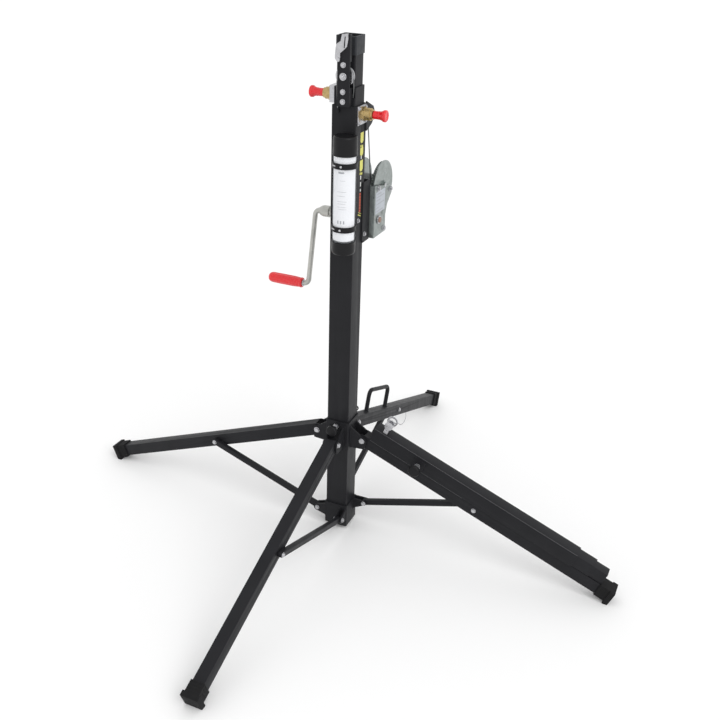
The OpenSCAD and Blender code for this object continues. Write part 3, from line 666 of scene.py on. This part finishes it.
def hex_head():
    """Washer and chamfered hexagon head with its bolt's end, Z up from its seat."""
    bm = bmesh.new()
    unit_lathe(bm, ((0, 1.02), (0, 1.26), (0.13, 1.28), (0.2, 1.22), (0.2, 1.0)), 32)
    rings = []
    for corner_h, flat_h, scale in ((0.1, 0.1, 1), (0.62, 0.76, 1), (0.8, 0.8, 0.84)):
        ring = []
        for k in range(12):
            is_corner = k % 2 == 0
            r = (1.04 if is_corner else 1.04 * cos(pi / 6)) if scale == 1 else scale
            ring.append(Vector((r * cos(pi * k / 6), r * sin(pi * k / 6), corner_h if is_corner else flat_h)))
        rings.append(ring)
    loft(bm, rings)
    unit_lathe(bm, ((0.7, 0.56), (0.98, 0.56), (1.06, 0.48), (1.08, 0.2)), 24)
    return bm


def cap_head():
    """Low domed head on a washer, Z up from its seat."""
    bm = bmesh.new()
    unit_lathe(bm, ((0, 1.0), (0, 1.22), (0.12, 1.22), (0.16, 1.16), (0.16, 0.98), (0.42, 0.96),
                    (0.62, 0.82), (0.74, 0.55), (0.79, 0.2)), 32)
    return bm


# ---------- frame of the stand ----------


SLOTS = {part["node"]: part["material_slot"] for part in frame["record"]["subparts"]}


class STAND_OT_cad_finishes(bpy.types.Operator):
    """Give every carried-over CAD node its material"""

    bl_idname = "stand.cad_finishes"
    bl_label = "Materials of the CAD nodes"

    def execute(self, context):
        for name, node in NODES.items():
            material = "crank_steel" if name == "crank_arm" else SLOTS[name]
            node.data.materials.clear()
            node.data.materials.append(finish(material))
        return {"FINISHED"}


class STAND_OT_tubes(bpy.types.Operator):
    """Mast tubes, collars, plates and leg channels with rolled and cut edges"""

    bl_idname = "stand.tubes"
    bl_label = "Tubes, collars and channels"

    def execute(self, context):
        edge = sizes().sheet_edge
        for node in ("outer_tube", "middle_tube", "inner_tube", "lower_collar", "leg_collar", "rear_gussets",
                     "winch_channel", "head_bracket", "leg_sleeve", "leg_extension"):
            softened(node, "black_powder_coat", edge)
        for name in LEGS:
            softened("leg_" + name, "black_powder_coat", edge)
        softened("winch_frame", "galvanised_steel", edge)
        softened("catch_lever", "zinc_plate", edge)
        softened("inner_cap", "grey_plastic", sizes().moulded_edge)
        softened("collar_eye", "black_plastic", edge)
        for node in ("outer_plunger_plate", "middle_plunger_plate"):
            softened(node, "zinc_plate", edge * 0.6)
        for node in ("outer_plunger_bush", "middle_plunger_bush"):
            softened(node, "brass", edge)
        return {"FINISHED"}


# Faces of a strut, measured sideways from its leg's middle plane
STRUT_IN, STRUT_OUT = 20.3 * MM, 36.9 * MM
# Half width of a leg's channel, and outer faces of the outer tube and the lower collar from the axis
LEG_HALF, MAST_HALF, COLLAR_HALF = 20, 40, 44


class STAND_OT_struts(bpy.types.Operator):
    """Struts in powder coat with zinc pivot pins"""

    bl_idname = "stand.struts"
    bl_label = "Struts"

    def execute(self, context):
        for name in LEGS:
            leg = Leg(name)
            softened("strut_" + name, "black_powder_coat", 1.2 * MM, extra=("zinc_plate",),
                     paint=lambda p, leg=leg: int(not STRUT_IN < (p - leg.hinge).dot(leg.side) < STRUT_OUT))
        return {"FINISHED"}


class STAND_OT_feet(bpy.types.Operator):
    """Rubber boots with a rolled lip and ribs"""

    bl_idname = "stand.feet"
    bl_label = "Feet"

    def execute(self, context):
        for name in LEGS:
            leg = Leg(name)
            softened("foot_" + name, "rubber", sizes().moulded_edge, segments=3)
            bm = bmesh.new()
            turn = Matrix.Translation(leg.hinge) @ Matrix((leg.along, leg.side, leg.up)).transposed().to_4x4()
            for s in (943, 953, 963):
                for t0, t1 in ((-25.2, -24.2), (24.2, 25.2)):
                    cuboid(bm, vec((s, t0, -LEG_HALF)), vec((s + 3, t1, LEG_HALF)), 0, turn, 0.4 * MM)
                if name != "right":
                    cuboid(bm, vec((s, -LEG_HALF, 26.2)), vec((s + 3, LEG_HALF, 27.2)), 0, turn, 0.4 * MM)
            piece("foot_ribs_" + name, bm, ("rubber",), leg.body)
        return {"FINISHED"}


# ---------- bolts and welds ----------


def head_size(radius, height=1.0):
    """Scale of a unit head, in metres: its radius and its height beside it."""
    return vec((radius, radius, radius * height))


def bolt_spots():
    """Where each domed head and each bolt of the head bracket sits: body to (point, direction, size)."""
    heads = {"collar": [], "mast": [], "middle": []}
    for name in LEGS:
        leg = Leg(name)
        radius, height = (86, 95) if name == "right" else (76, 64)
        flat = Vector((leg.along.x, leg.along.y, 0)).normalized()
        pivot = (flat * radius + Z * height) * MM
        for sign, lug, strut in ((-1, 14.9, -20.6), (1, 42.3, 37)):
            out = leg.side * sign
            heads["collar"].append((leg.hinge + out * 26 * MM, out, head_size(8.5, 0.8)))
            heads["mast"].append((pivot + leg.side * lug * MM, out, head_size(7, 0.85)))
            heads.setdefault("strut_" + name, []).append(
                (leg.pivot + leg.side * strut * MM, out, head_size(7, 0.85)))
    front = low("head_bracket").y
    wheel = joint_at("head_pulley_turn")
    for z in (1555, 1583, 1658.5):
        heads["middle"].append((Vector((wheel.x, front, z * MM)), -Y, head_size(6.5)))
    heads["middle"].append((Vector((wheel.x, front, wheel.z)), -Y, head_size(8.6)))
    return heads


def hexagon_spots():
    """Where each hexagon bolt of the mast and the winch sits."""
    spots = [(Vector((high("outer_tube").x, -4 * MM, 1183 * MM)), X, head_size(6)),
             (Vector((high("winch_channel").x, 38 * MM, 1128 * MM)), X, head_size(6))]
    plate, nut = high("winch_frame").x, vec((7.6, 7.6, 6.6))
    for y, z in ((161, 1115), (208, 1236), (106, 1262)):
        spots += [(Vector((plate, y * MM, z * MM)), X, nut), (vec((-45, y, z)), -X, nut)]
    pulley = joint_at("rear_pulley_turn")
    for side in (X, -X):
        spots.append((side * 44 * MM + Y * pulley.y + Z * pulley.z, side, vec((8.2, 8.2, 7))))
    axis = middle("outer_plunger_bush").z
    for y in (-22, 22):
        for z in (-24, 17):
            spots.append((vec((43, y, z)) + Z * axis, X, vec((5.7, 5.7, 6))))
    return spots


class STAND_OT_bolts(bpy.types.Operator):
    """Washers and heads of every visible bolt"""

    bl_idname = "stand.bolts"
    bl_label = "Bolts"

    def execute(self, context):
        tree = heads_tree()
        hexagon = hidden_fitting("hexagon_head", hex_head())
        domed = hidden_fitting("domed_head", cap_head())
        rows = [("hexagon_bolts", "mast", hexagon, hexagon_spots())]
        for body, spots in bolt_spots().items():
            rows.append(("bolt_heads_" + body, body, hexagon if body == "middle" else domed, spots))
        for name, body, fitting, spots in rows:
            values = {"Fitting": fitting, "Material": finish("zinc_plate")}
            grown(name, points_mesh("spots", spots), tree, values, body)
        bpy.data.objects.remove(hexagon)
        bpy.data.objects.remove(domed)
        return {"FINISHED"}


def polyline_mesh(name, lines):
    """Edges along each line of points."""
    verts, edges = [], []
    for line in lines:
        edges += [(len(verts) + i, len(verts) + i + 1) for i in range(len(line) - 1)]
        verts += line
    mesh = bpy.data.meshes.new(name)
    mesh.from_pydata(verts, edges, [])
    return mesh


def weld_lines():
    """Where the welds run: body to a list of lines."""
    lines = {"collar": [], "mast": [], "leg_back": [], "leg_right": []}
    for name in LEGS:
        leg = Leg(name)
        flat = Vector((leg.along.x, leg.along.y, 0)).normalized()
        bottom, top = (60, 103) if name == "right" else (41, 91)
        for upper, lower, reach in ((-26, 14.9, COLLAR_HALF), (26, 42.3, 42.6)):
            for body, out, across, z0, z1 in (("collar", COLLAR_HALF, upper, 355, 439),
                                              ("mast", reach, lower, bottom, top)):
                base = flat * (out * MM) + leg.side * (across * MM)
                lines[body].append([base + Z * z0 * MM, base + Z * z1 * MM])
    right, back = Leg("right"), Leg("back")
    for side in (-20.4, 20.4):
        for start in range(60, 800, 190):
            lines["leg_right"].append([right.at(s, side, 22.4) for s in (start, start + 46)])
    for s in (130, 333):
        lines["leg_back"].append([back.at(s + 8.4 * cos(a), 8.4 * sin(a), 22.8)
                                  for a in (2 * pi * k / 20 for k in range(21))])
    for x in (-MAST_HALF, MAST_HALF):
        for y, z0, z1 in ((31.5, 1459, 1538), (21.6, 1106, 1296)):
            lines["mast"].append([vec((x, y, z0)), vec((x, y, z1))])
    return lines


class STAND_OT_welds(bpy.types.Operator):
    """Weld beads on the lugs, the gussets, the handle and the sleeve"""

    bl_idname = "stand.welds"
    bl_label = "Welds"

    def execute(self, context):
        tree = beads_tree()
        for seed, (body, lines) in enumerate(weld_lines().items()):
            values = {"Radius": sizes().weld, "Seed": seed, "Material": finish("black_powder_coat")}
            grown("welds_" + body, polyline_mesh("weld_lines", lines), tree, values, body,
                  smooth=80)
        return {"FINISHED"}


# ---------- knobs, grips and spring bolts ----------


class STAND_OT_pull_knobs(bpy.types.Operator):
    """Red flared pull knobs of the two mast spring bolts, with their steel pins"""

    bl_idname = "stand.pull_knobs"
    bl_label = "Pull knobs"

    def execute(self, context):
        for node, side, start, grip, tip in (("outer_plunger_knob", X, 81, 42, 35.9),
                                             ("middle_plunger_knob", -X, 84, 45, 31)):
            profile = rounded_profile([(0, 3), (0, 11), (1.5, 12), (grip - 28, 12), (grip - 20, 12.6),
                                       (grip - 12, 15), (grip - 7, 17.6), (grip - 2.5, 17.6), (grip, 16),
                                       (grip, 11), (grip - 1.6, 10), (grip - 1.6, 3)], 1.4)
            bm = bmesh.new()
            axis_height = middle(node).z
            origin = side * start * MM + Z * axis_height
            lathe(bm, Z * axis_height, side,
                  rounded_profile([(tip, 1), (tip, 5.9), (start + 2, 5.9), (start + 2, 1)], 0.8), 32, 1)
            lathe(bm, origin, side, profile, 64, 0,
                  lambda h, a, end=grip - 21: -0.5 * max(0.0, cos(8 * a)) ** 6 if 2 < h < end else 0.0)
            for h, r in ((grip - 24, 12.4), (grip - 9.5, 16.6)):
                lathe(bm, origin, side, [(h - 0.9, r - 1.5), (h - 0.9, r + 0.1), (h, r + 0.5),
                                         (h + 0.9, r + 0.1), (h + 0.9, r - 1.5)])
            piece(node + "_finished", bm, ("red_plastic", "zinc_plate"), NODES[node]["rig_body"],
                  (node,))
        return {"FINISHED"}


def black_knob(name, origin, axis, shaft_from, shaft_to, head, body):
    """Round ribbed knob on a bright shaft. head gives its (height, radius) outline."""
    shaft = [(shaft_from, 0.6), (shaft_from, 3.95), (shaft_to, 3.95), (shaft_to, 0.6)]
    bm = bmesh.new()
    lathe(bm, origin, axis, rounded_profile(shaft, 0.6), 24, 1)
    ribs = sizes().knob_ribs
    rim = max(r for _, r in head)
    lathe(bm, origin, axis, rounded_profile(head, 2.0), 120, 0,
          lambda h, a: -0.9 * (0.5 + 0.5 * cos(ribs * a)) ** 3 if wide_at(head, h) > rim - 2.5 else 0.0)
    piece(name + "_finished", bm, ("black_plastic", "zinc_plate"), body, (name,))


def wide_at(outline, height):
    """Radius of an outline of (height, radius) points at a height."""
    for (h0, r0), (h1, r1) in zip(outline, outline[1:]):
        if h0 <= height <= h1 and h1 > h0:
            return r0 + (r1 - r0) * (height - h0) / (h1 - h0)
    return 0.0


class STAND_OT_lock_knobs(bpy.types.Operator):
    """Black ribbed knobs of the collar's and the right leg's spring bolts"""

    bl_idname = "stand.lock_knobs"
    bl_label = "Lock knobs"

    def execute(self, context):
        collar_z = middle("collar_knob").z
        black_knob("collar_knob", Z * collar_z, -Y, 40.4, 70,
                   [(66, 1), (66, 9), (76, 10.5), (79.5, 17.5), (84, 19.5), (92, 19.5), (95.6, 16), (96, 1)],
                   "collar_plunger")
        leg = Leg("right")
        out = leg.side if leg.side.y < 0 else -leg.side
        black_knob("leg_knob", leg.at(214, 0, 40), out, 22.7, 50,
                   [(44, 1), (44, 9), (51, 11), (54, 19.5), (57.5, 21.4), (66, 21.4), (69.6, 18), (70, 1)],
                   "leg_plunger")
        return {"FINISHED"}


class STAND_OT_crank(bpy.types.Operator):
    """Red fluted grip and its end washer on the crank"""

    bl_idname = "stand.crank"
    bl_label = "Crank grip"

    def execute(self, context):
        grip = joint_at("grip_turn")
        origin = Vector((high("crank_grip").x, grip.y, grip.z))
        flutes = sizes().grip_flutes
        outline = [(0, 7), (0, 16), (3, 17.4), (7, 17.8), (10, 16.2), (14, 17.2), (30, 18.3), (70, 18.5),
                   (112, 18.1), (120, 17.2), (126, 14.4), (130, 9.5), (131.8, 4), (132, 0.8)]

        def flute(height, angle):
            """How far the flutes cut in. They fade out towards both ends of the grip."""
            fade = min(1, max(0, (height - 14) / 8), max(0, (124 - height) / 12))
            return -1.1 * (0.5 + 0.5 * cos(flutes * angle)) ** 2 * fade

        bm = bmesh.new()
        lathe(bm, origin, -X, rounded_profile(outline, 2.0), 144, 0, flute)
        piece("crank_grip_finished", bm, ("red_plastic",), "grip", ("crank_grip",))
        bm = bmesh.new()
        lathe(bm, Vector((-183 * MM, grip.y, grip.z)), X, rounded_profile(
            [(-1.8, 6.5), (-1.8, 12), (1.2, 12), (1.2, 6.5)], 0.5), 40)
        piece("grip_washer", bm, ("zinc_plate",), "crank")
        return {"FINISHED"}


# ---------- winch and cables ----------


# The wound cable on the drum: its two ends along X and the radius of its turns
COIL_FROM, COIL_TO, COIL_RADIUS = -20.6 * MM, 35.4 * MM, 28.4 * MM


class STAND_OT_winch(bpy.types.Operator):
    """Wound cable, side label and bronzed shaft end of the winch"""

    bl_idname = "stand.winch"
    bl_label = "Winch details"

    def execute(self, context):
        rope_r = sizes().rope
        drum = joint_at("drum_turn")
        step = 2.05 * rope_r
        first, last = COIL_FROM + rope_r, COIL_TO - rope_r
        count = int((last - first) / step) + 1
        line = bpy.data.meshes.new("turns")
        line.from_pydata([Vector((first + step * k, drum.y, drum.z)) for k in range(count)], [], [])
        values = {"Turn": COIL_RADIUS, "Cable": rope_r, "Material": finish("wire_rope")}
        grown("cable_turns", line, coils_tree(), values, "drum", smooth=60)
        self.label()
        self.shaft_end()
        return {"FINISHED"}

    def label(self):
        """Plain rating plate with generic rows on the right side plate."""
        face = X * high("winch_frame").x
        lift = X * sizes().print_lift
        bm = bmesh.new()
        cuboid(bm, face + vec((0, 84, 1180)), face + lift * 2 + vec((0, 162, 1252)), bevel=0.1 * MM)
        for z, end in ((1244, 130), (1234, 152), (1224, 122), (1211, 155), (1199, 110), (1188, 146)):
            cuboid(bm, face + lift * 2 + vec((0, 90, z - 1.2)), face + lift * 2.6 + vec((0, end, z + 1.2)), 1)
        piece("winch_label", bm, ("label_film", "grey_print"), "mast")

    def shaft_end(self):
        """Bronzed end of the input shaft with its lock ring."""
        shaft = joint_at("crank_turn")
        end = high("input_shaft").x
        bm = bmesh.new()
        lathe(bm, Vector((end, shaft.y, shaft.z)), X,
              rounded_profile([(-6.4, 8), (-6.4, 13.5), (-2.6, 13.5), (-2.6, 9.4), (0.6, 9.3), (1.6, 7.6),
                               (1.6, 4.0), (0.6, 3.4), (0.6, 0.6)], 0.6), 40)
        for face in bm.faces:
            reach = (face.calc_center_median() - shaft).yz.length
            face.material_index = int(reach < 9.6 * MM)
        piece("input_shaft_end", bm, ("zinc_plate", "copper_brown"), "crank")


def cable_points():
    """The winch cable's route from the drum over the rear pulley and down inside the mast."""
    drum, pulley = joint_at("drum_turn"), joint_at("rear_pulley_turn")
    wind, turn, x = 30.4 * MM, 27.35 * MM, 22 * MM

    def round_wheel(centre, radius, angle):
        return Vector((x, centre.y + radius * cos(angle), centre.z + radius * sin(angle)))

    reach = pulley - drum
    leave = atan2(reach.z, reach.y) + acos((wind + turn) / reach.yz.length)
    start, meet = round_wheel(drum, wind, leave), round_wheel(pulley, -turn, leave)
    points = [start.lerp(meet, k / 6) for k in range(7)]
    points += [round_wheel(pulley, turn, radians(a)) for a in range(15, 181, 15)]
    return points + [Vector((x, pulley.y - turn, z * MM)) for z in range(1400, 0, -274)]


class STAND_OT_cables(bpy.types.Operator):
    """Stranded steel cables of the winch and of the head pulley"""

    bl_idname = "stand.cables"
    bl_label = "Cables"

    def execute(self, context):
        rope("winch_cable_strands", cable_points(), "mast", replaces=("winch_cable",))
        pulley = joint_at("head_pulley_turn")
        turn = 27 * MM
        wall, inner_half = 2.5 * MM, 30 * MM
        inside = (low("middle_tube").y + wall - inner_half) / 2
        over = [Vector((pulley.x + turn * cos(radians(a)), pulley.y, pulley.z + turn * sin(radians(a))))
                for a in range(180, -1, -15)]
        down = [vec((31.6, -43, 1612)), vec((30.4, -39, 1599)), vec((29.2, -35.2, 1587)),
                Vector((27.8 * MM, inside - 0.6 * MM, 1574 * MM)), Vector((26.4 * MM, inside, 1560 * MM))]
        down += [Vector((26 * MM, inside, z * MM)) for z in range(1400, 100, -266)]
        rope("lift_cable_strands", over + down, "middle", replaces=("lift_cable",))
        fixed, rising = vec((-17.5, -44, 1521)), Vector((pulley.x - turn, pulley.y, pulley.z))
        strand = rope("lift_cable_outer_strand", [fixed.lerp(rising, k / 8) for k in range(9)], None)
        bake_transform(strand)
        return {"FINISHED"}


# ---------- document tube ----------


def curved_panel(bm, centre, radius, start, end, z0, z1, thick, material=0):
    """Panel bent round an upright tube. Angles are degrees from the front, towards +X."""
    steps = max(2, round(abs(end - start) / 4))
    rings = []
    for k in range(steps + 1):
        angle = radians(start + (end - start) * k / steps)
        out = Vector((sin(angle), -cos(angle), 0))
        rings.append([centre + out * (radius + d) + Z * z for d, z in
                      ((0, z0), (thick, z0), (thick, z1), (0, z1))])
    loft(bm, rings, material)


class STAND_OT_document_tube(bpy.types.Operator):
    """Document tube: clear wall, rolled sheet with generic lines, caps and straps"""

    bl_idname = "stand.document_tube"
    bl_label = "Document tube"

    def execute(self, context):
        centre = middle("document_tube")
        centre.z = 0
        self.sheet(centre, high("document_tube").x - centre.x - 3 * MM)
        self.caps(centre)
        self.straps(centre)
        return {"FINISHED"}

    def sheet(self, c, r):
        """Dark lining, painted shade for the shaded inside of the clear tube and the dark reflections in its
        wall, with a white sheet in front of it, which has rows of generic lines.
        """
        bm = bmesh.new()
        # The lining is a black cylinder just inside the clear wall: painted shade where the sheet does not
        # reach.
        lathe(bm, c, Z, [(1109, 31.0), (1109, 32.4), (1457, 32.4), (1457, 31.0)], 64, 2)
        curved_panel(bm, c, r - 0.4 * MM, -150, 100, 1146 * MM, 1412 * MM, 0.7 * MM, 0)
        lines = [(1360, -10, 22, 5.0), (1336, 0, 28, 0.8), (1302, -14, 34, 0.9), (1289, -16, 28, 0.9),
                 (1272, -14, 36, 0.8), (1265, -12, 30, 0.8), (1255, -14, 34, 0.8), (1248, -8, 36, 0.8)]
        for z, start, end, width in lines:
            curved_panel(bm, c, r + 0.3 * MM, start, end, (z - width / 2) * MM, (z + width / 2) * MM,
                         0.12 * MM, 1)
        for start in (-12, 4, 20):
            curved_panel(bm, c, r + 0.3 * MM, start, start + 7, 1202 * MM, 1212 * MM, 0.12 * MM, 1)
        piece("document_sheet", bm, ("paper", "grey_print", "black_plastic"), "mast",
              ("document_roll",))

    def caps(self, centre):
        """Push-on caps with a rolled lip."""
        bm = bmesh.new()
        for z, direction, skirt in ((1142, -Z, 0), (1422, Z, 15)):
            outline = [(-skirt, 36.1), (-skirt, 38.2), (3 - skirt, 38.6), (6 - skirt, 37.6), (33, 37.4),
                       (38, 36.6), (42, 34), (42, 24), (40.5, 22), (40.5, 1)]
            lathe(bm, centre + Z * z * MM, direction, rounded_profile(outline, 1.6), 72)
        piece("document_tube_caps_finished", bm, ("black_plastic",), "mast",
              ("document_tube_caps",))

    def straps(self, centre):
        """Ribbed straps with a tightening screw and a painted glint, on a saddle against the mast."""
        bm = bmesh.new()
        half = 8.6
        profile = [(-half, 36.1), (-half, 38.4), (-7.4, 39.4), (-5.2, 39.4), (-4.4, 38.3), (4.4, 38.3),
                   (5.2, 39.4), (7.4, 39.4), (half, 38.4), (half, 36.1)]
        screw = rounded_profile([(0, 1), (0, 3.6), (2.4, 3.4), (3, 2.6), (3, 0.5)], 0.4)
        out = Vector((sin(radians(6)), -cos(radians(6)), 0))
        turns = [2 * pi * k / 96 for k in range(96)]
        for z in (1183, 1379):
            at = centre + Z * z * MM
            rings = [[at + (X * cos(a) + Y * sin(a)) * r * MM + Z * h * MM for h, r in profile]
                     for a in turns]
            loft(bm, rings + [rings[0]], closed=False)
            cuboid(bm, vec((0.5, -51, z - half)), vec((39, -MAST_HALF, z + half)), bevel=1.0 * MM)
            # Short zinc band on the strap's front left: a painted glint where the black strap catches the
            # light.
            curved_panel(bm, centre, 38.3 * MM, -46, -24, (z - 1.8) * MM, (z + 1.8) * MM, 0.5 * MM, 1)
            lathe(bm, at + out * 37.5 * MM, out, screw, 20, 1)
        bmesh.ops.remove_doubles(bm, verts=bm.verts, dist=0.001 * MM)
        piece("document_clips_finished", bm, ("black_plastic", "zinc_plate"), "mast",
              ("document_clips",))


class STAND_OT_scale_print(bpy.types.Operator):
    """Generic height scale printed on the right side of the mast"""

    bl_idname = "stand.scale_print"
    bl_label = "Printed scale"

    def execute(self, context):
        under = X * (high("outer_tube").x - 0.05 * MM)
        over = X * (high("outer_tube").x + sizes().print_lift)
        yellow, white, orange = range(3)
        bm = bmesh.new()

        def block(y0, y1, z0, z1, material, turn=None):
            cuboid(bm, under + vec((0, y0, z0)), over + vec((0, y1, z1)), material, turn)

        for z0, z1 in ((1429, 1457), (1390, 1411), (1342, 1372)):
            block(0, 22, z0, z1, yellow)
            block(4, 18, z0 - 4, z0, yellow)
        for z in (1416, 1331):
            block(1, 8, z - 3, z + 4, yellow)
            block(11, 20, z - 5, z + 2, yellow)
        for z0, z1 in ((1376, 1386), (1312, 1324), (1290, 1304), (1274, 1282)):
            block(6, 12, z0, z1, white)
        for z in range(1266, 1208, -9):
            block(3, 7, z - 3, z + 4, orange)
            block(9, 13, z - 4, z + 3, orange)
        slant = Matrix.Translation(vec((0, 6, 1198))) @ Matrix.Rotation(radians(-24), 4, "X")
        for offset, width in ((0, 1.4), (7, 0.8)):
            block(-12, 12, offset - width, offset + width, yellow, slant)
        piece("printed_scale", bm, ("yellow_print", "white_print", "orange_print"), "mast")
        return {"FINISHED"}


# ---------- right leg fittings ----------


class STAND_OT_leg_fittings(bpy.types.Operator):
    """Clip with its ring and wire on the right leg, the plate behind its knob and painted highlights along
    the sleeve's edges
    """

    bl_idname = "stand.leg_fittings"
    bl_label = "Leg fittings"

    def execute(self, context):
        leg = Leg("right")
        plate_out, sleeve_top = 28.2 * MM, 76 * MM

        def coated(point):
            """The knob's plate is painted like the sleeve. Its nut and the clip are plated."""
            offset = point - leg.hinge
            return int(offset.dot(leg.up) < sleeve_top and abs(offset.dot(leg.side)) < plate_out)

        softened("leg_sleeve_fittings", "zinc_plate", 0.5 * MM, coated, ("black_powder_coat",))
        bm = bmesh.new()
        clip, top, ring = 60, 112.5, 19
        wire(bm, [leg.at(clip + ring * cos(a), 17.5 + 1.5 * sin(a), top + ring * sin(a))
                  for a in (2 * pi * k / 28 for k in range(26))], 1.3 * MM)
        tail = [leg.at(clip + s, t, top + n)
                for s, t, n in ((16, 16, 8), (30, 15, 10), (36, 14, 30), (32, 13, 54), (26, 12, 66))]
        wire(bm, resampled(tail, 2.5 * MM), 0.9 * MM)
        piece("clip_wire", bm, ("zinc_plate",), "leg_right")
        # Lighter lines along the sleeve's top and bottom edges on both sides: painted highlights where its
        # rounded edges catch the light.
        bm = bmesh.new()
        for side in (-1, 1):
            for height, end in ((22.9, 400), (76.1, 824)):
                wire(bm, [leg.at(s, 24.7 * side, height) for s in (24, (24 + end) / 2, end)], 0.55 * MM)
        piece("rubbed_sleeve_edges", bm, ("rubbed_coat",), "leg_right")
        return {"FINISHED"}


# ---------- studio ----------


class STAND_OT_studio(bpy.types.Operator):
    """Camera, pale floor and soft light"""

    bl_idname = "stand.studio"
    bl_label = "Camera, floor and light"

    def execute(self, context):
        scene = context.scene
        scene.camera = self.camera()
        self.floor()
        world = bpy.data.worlds.new("studio")
        world.use_nodes = True
        background = world.node_tree.nodes["Background"].inputs
        background["Color"].default_value = (1, 1, 1, 1)
        background["Strength"].default_value = 0.95
        scene.world = world
        self.light()
        scene.view_settings.view_transform = "Standard"
        return {"FINISHED"}

    def camera(self):
        """Looks down at the stand from its front right."""
        lens = bpy.data.cameras.new("camera")
        lens.lens = 46.03
        lens.sensor_width = 36
        lens.shift_x = 0.0228
        lens.shift_y = 0.0351
        place, heading, down, roll = (1.1655, -2.5758, 2.1061), 24.31, 28.35, 1.29
        made = bpy.data.objects.new("camera", lens)
        made.matrix_world = (Matrix.Translation(place) @ Matrix.Rotation(radians(heading), 4, "Z")
                             @ Matrix.Rotation(radians(90 - down), 4, "X")
                             @ Matrix.Rotation(radians(roll), 4, "Z"))
        bpy.context.scene.collection.objects.link(made)
        return made

    def floor(self):
        """Pale floor, large enough to reach the horizon."""
        bm = bmesh.new()
        bmesh.ops.create_grid(bm, x_segments=1, y_segments=1, size=90)
        mesh = bpy.data.meshes.new("floor")
        bm.to_mesh(mesh)
        bm.free()
        mesh.materials.append(finish("floor"))
        floor = bpy.data.objects.new("floor", mesh)
        bpy.context.scene.collection.objects.link(floor)

    def light(self):
        """One wide sun, high on the right, aimed at the middle of the stand."""
        lamp = bpy.data.lights.new("sun", "SUN")
        lamp.angle = 0.7
        lamp.energy = 1.0
        place, aim = Vector((2.6, -1.2, 3.4)), Vector((0, 0, 0.8))
        made = bpy.data.objects.new("sun", lamp)
        facing = (aim - place).to_track_quat("-Z", "Y").to_matrix().to_4x4()
        made.matrix_world = Matrix.Translation(place) @ facing
        bpy.context.scene.collection.objects.link(made)


class STAND_PT_panel(bpy.types.Panel):
    """Lists the sizes, the colours and the building steps"""

    bl_label = "Crank lighting stand"
    bl_idname = "STAND_PT_panel"
    bl_space_type = "VIEW_3D"
    bl_region_type = "UI"
    bl_category = "Stand"

    def draw(self, context):
        for group in (context.scene.stand_sizes, context.scene.stand_colours):
            box = self.layout.box()
            for name in group.__annotations__:
                box.prop(group, name)
        for operator in OPERATORS:
            self.layout.operator(operator.bl_idname)


OPERATORS = (
    STAND_OT_studio,
    STAND_OT_cad_finishes,
    STAND_OT_tubes,
    STAND_OT_struts,
    STAND_OT_feet,
    STAND_OT_bolts,
    STAND_OT_welds,
    STAND_OT_pull_knobs,
    STAND_OT_lock_knobs,
    STAND_OT_crank,
    STAND_OT_winch,
    STAND_OT_cables,
    STAND_OT_document_tube,
    STAND_OT_scale_print,
    STAND_OT_leg_fittings,
)
CLASSES = (StandSizes, StandColours, *OPERATORS, STAND_PT_panel)


def register():
    for cls in CLASSES:
        bpy.utils.register_class(cls)
    bpy.types.Scene.stand_sizes = bpy.props.PointerProperty(type=StandSizes)
    bpy.types.Scene.stand_colours = bpy.props.PointerProperty(type=StandColours)


def unregister():
    del bpy.types.Scene.stand_colours
    del bpy.types.Scene.stand_sizes
    for cls in reversed(CLASSES):
        bpy.utils.unregister_class(cls)


def main():
    register()
    for operator in OPERATORS:
        group, name = operator.bl_idname.split(".")
        getattr(getattr(bpy.ops, group), name)()


if __name__ == "__main__":
    main()
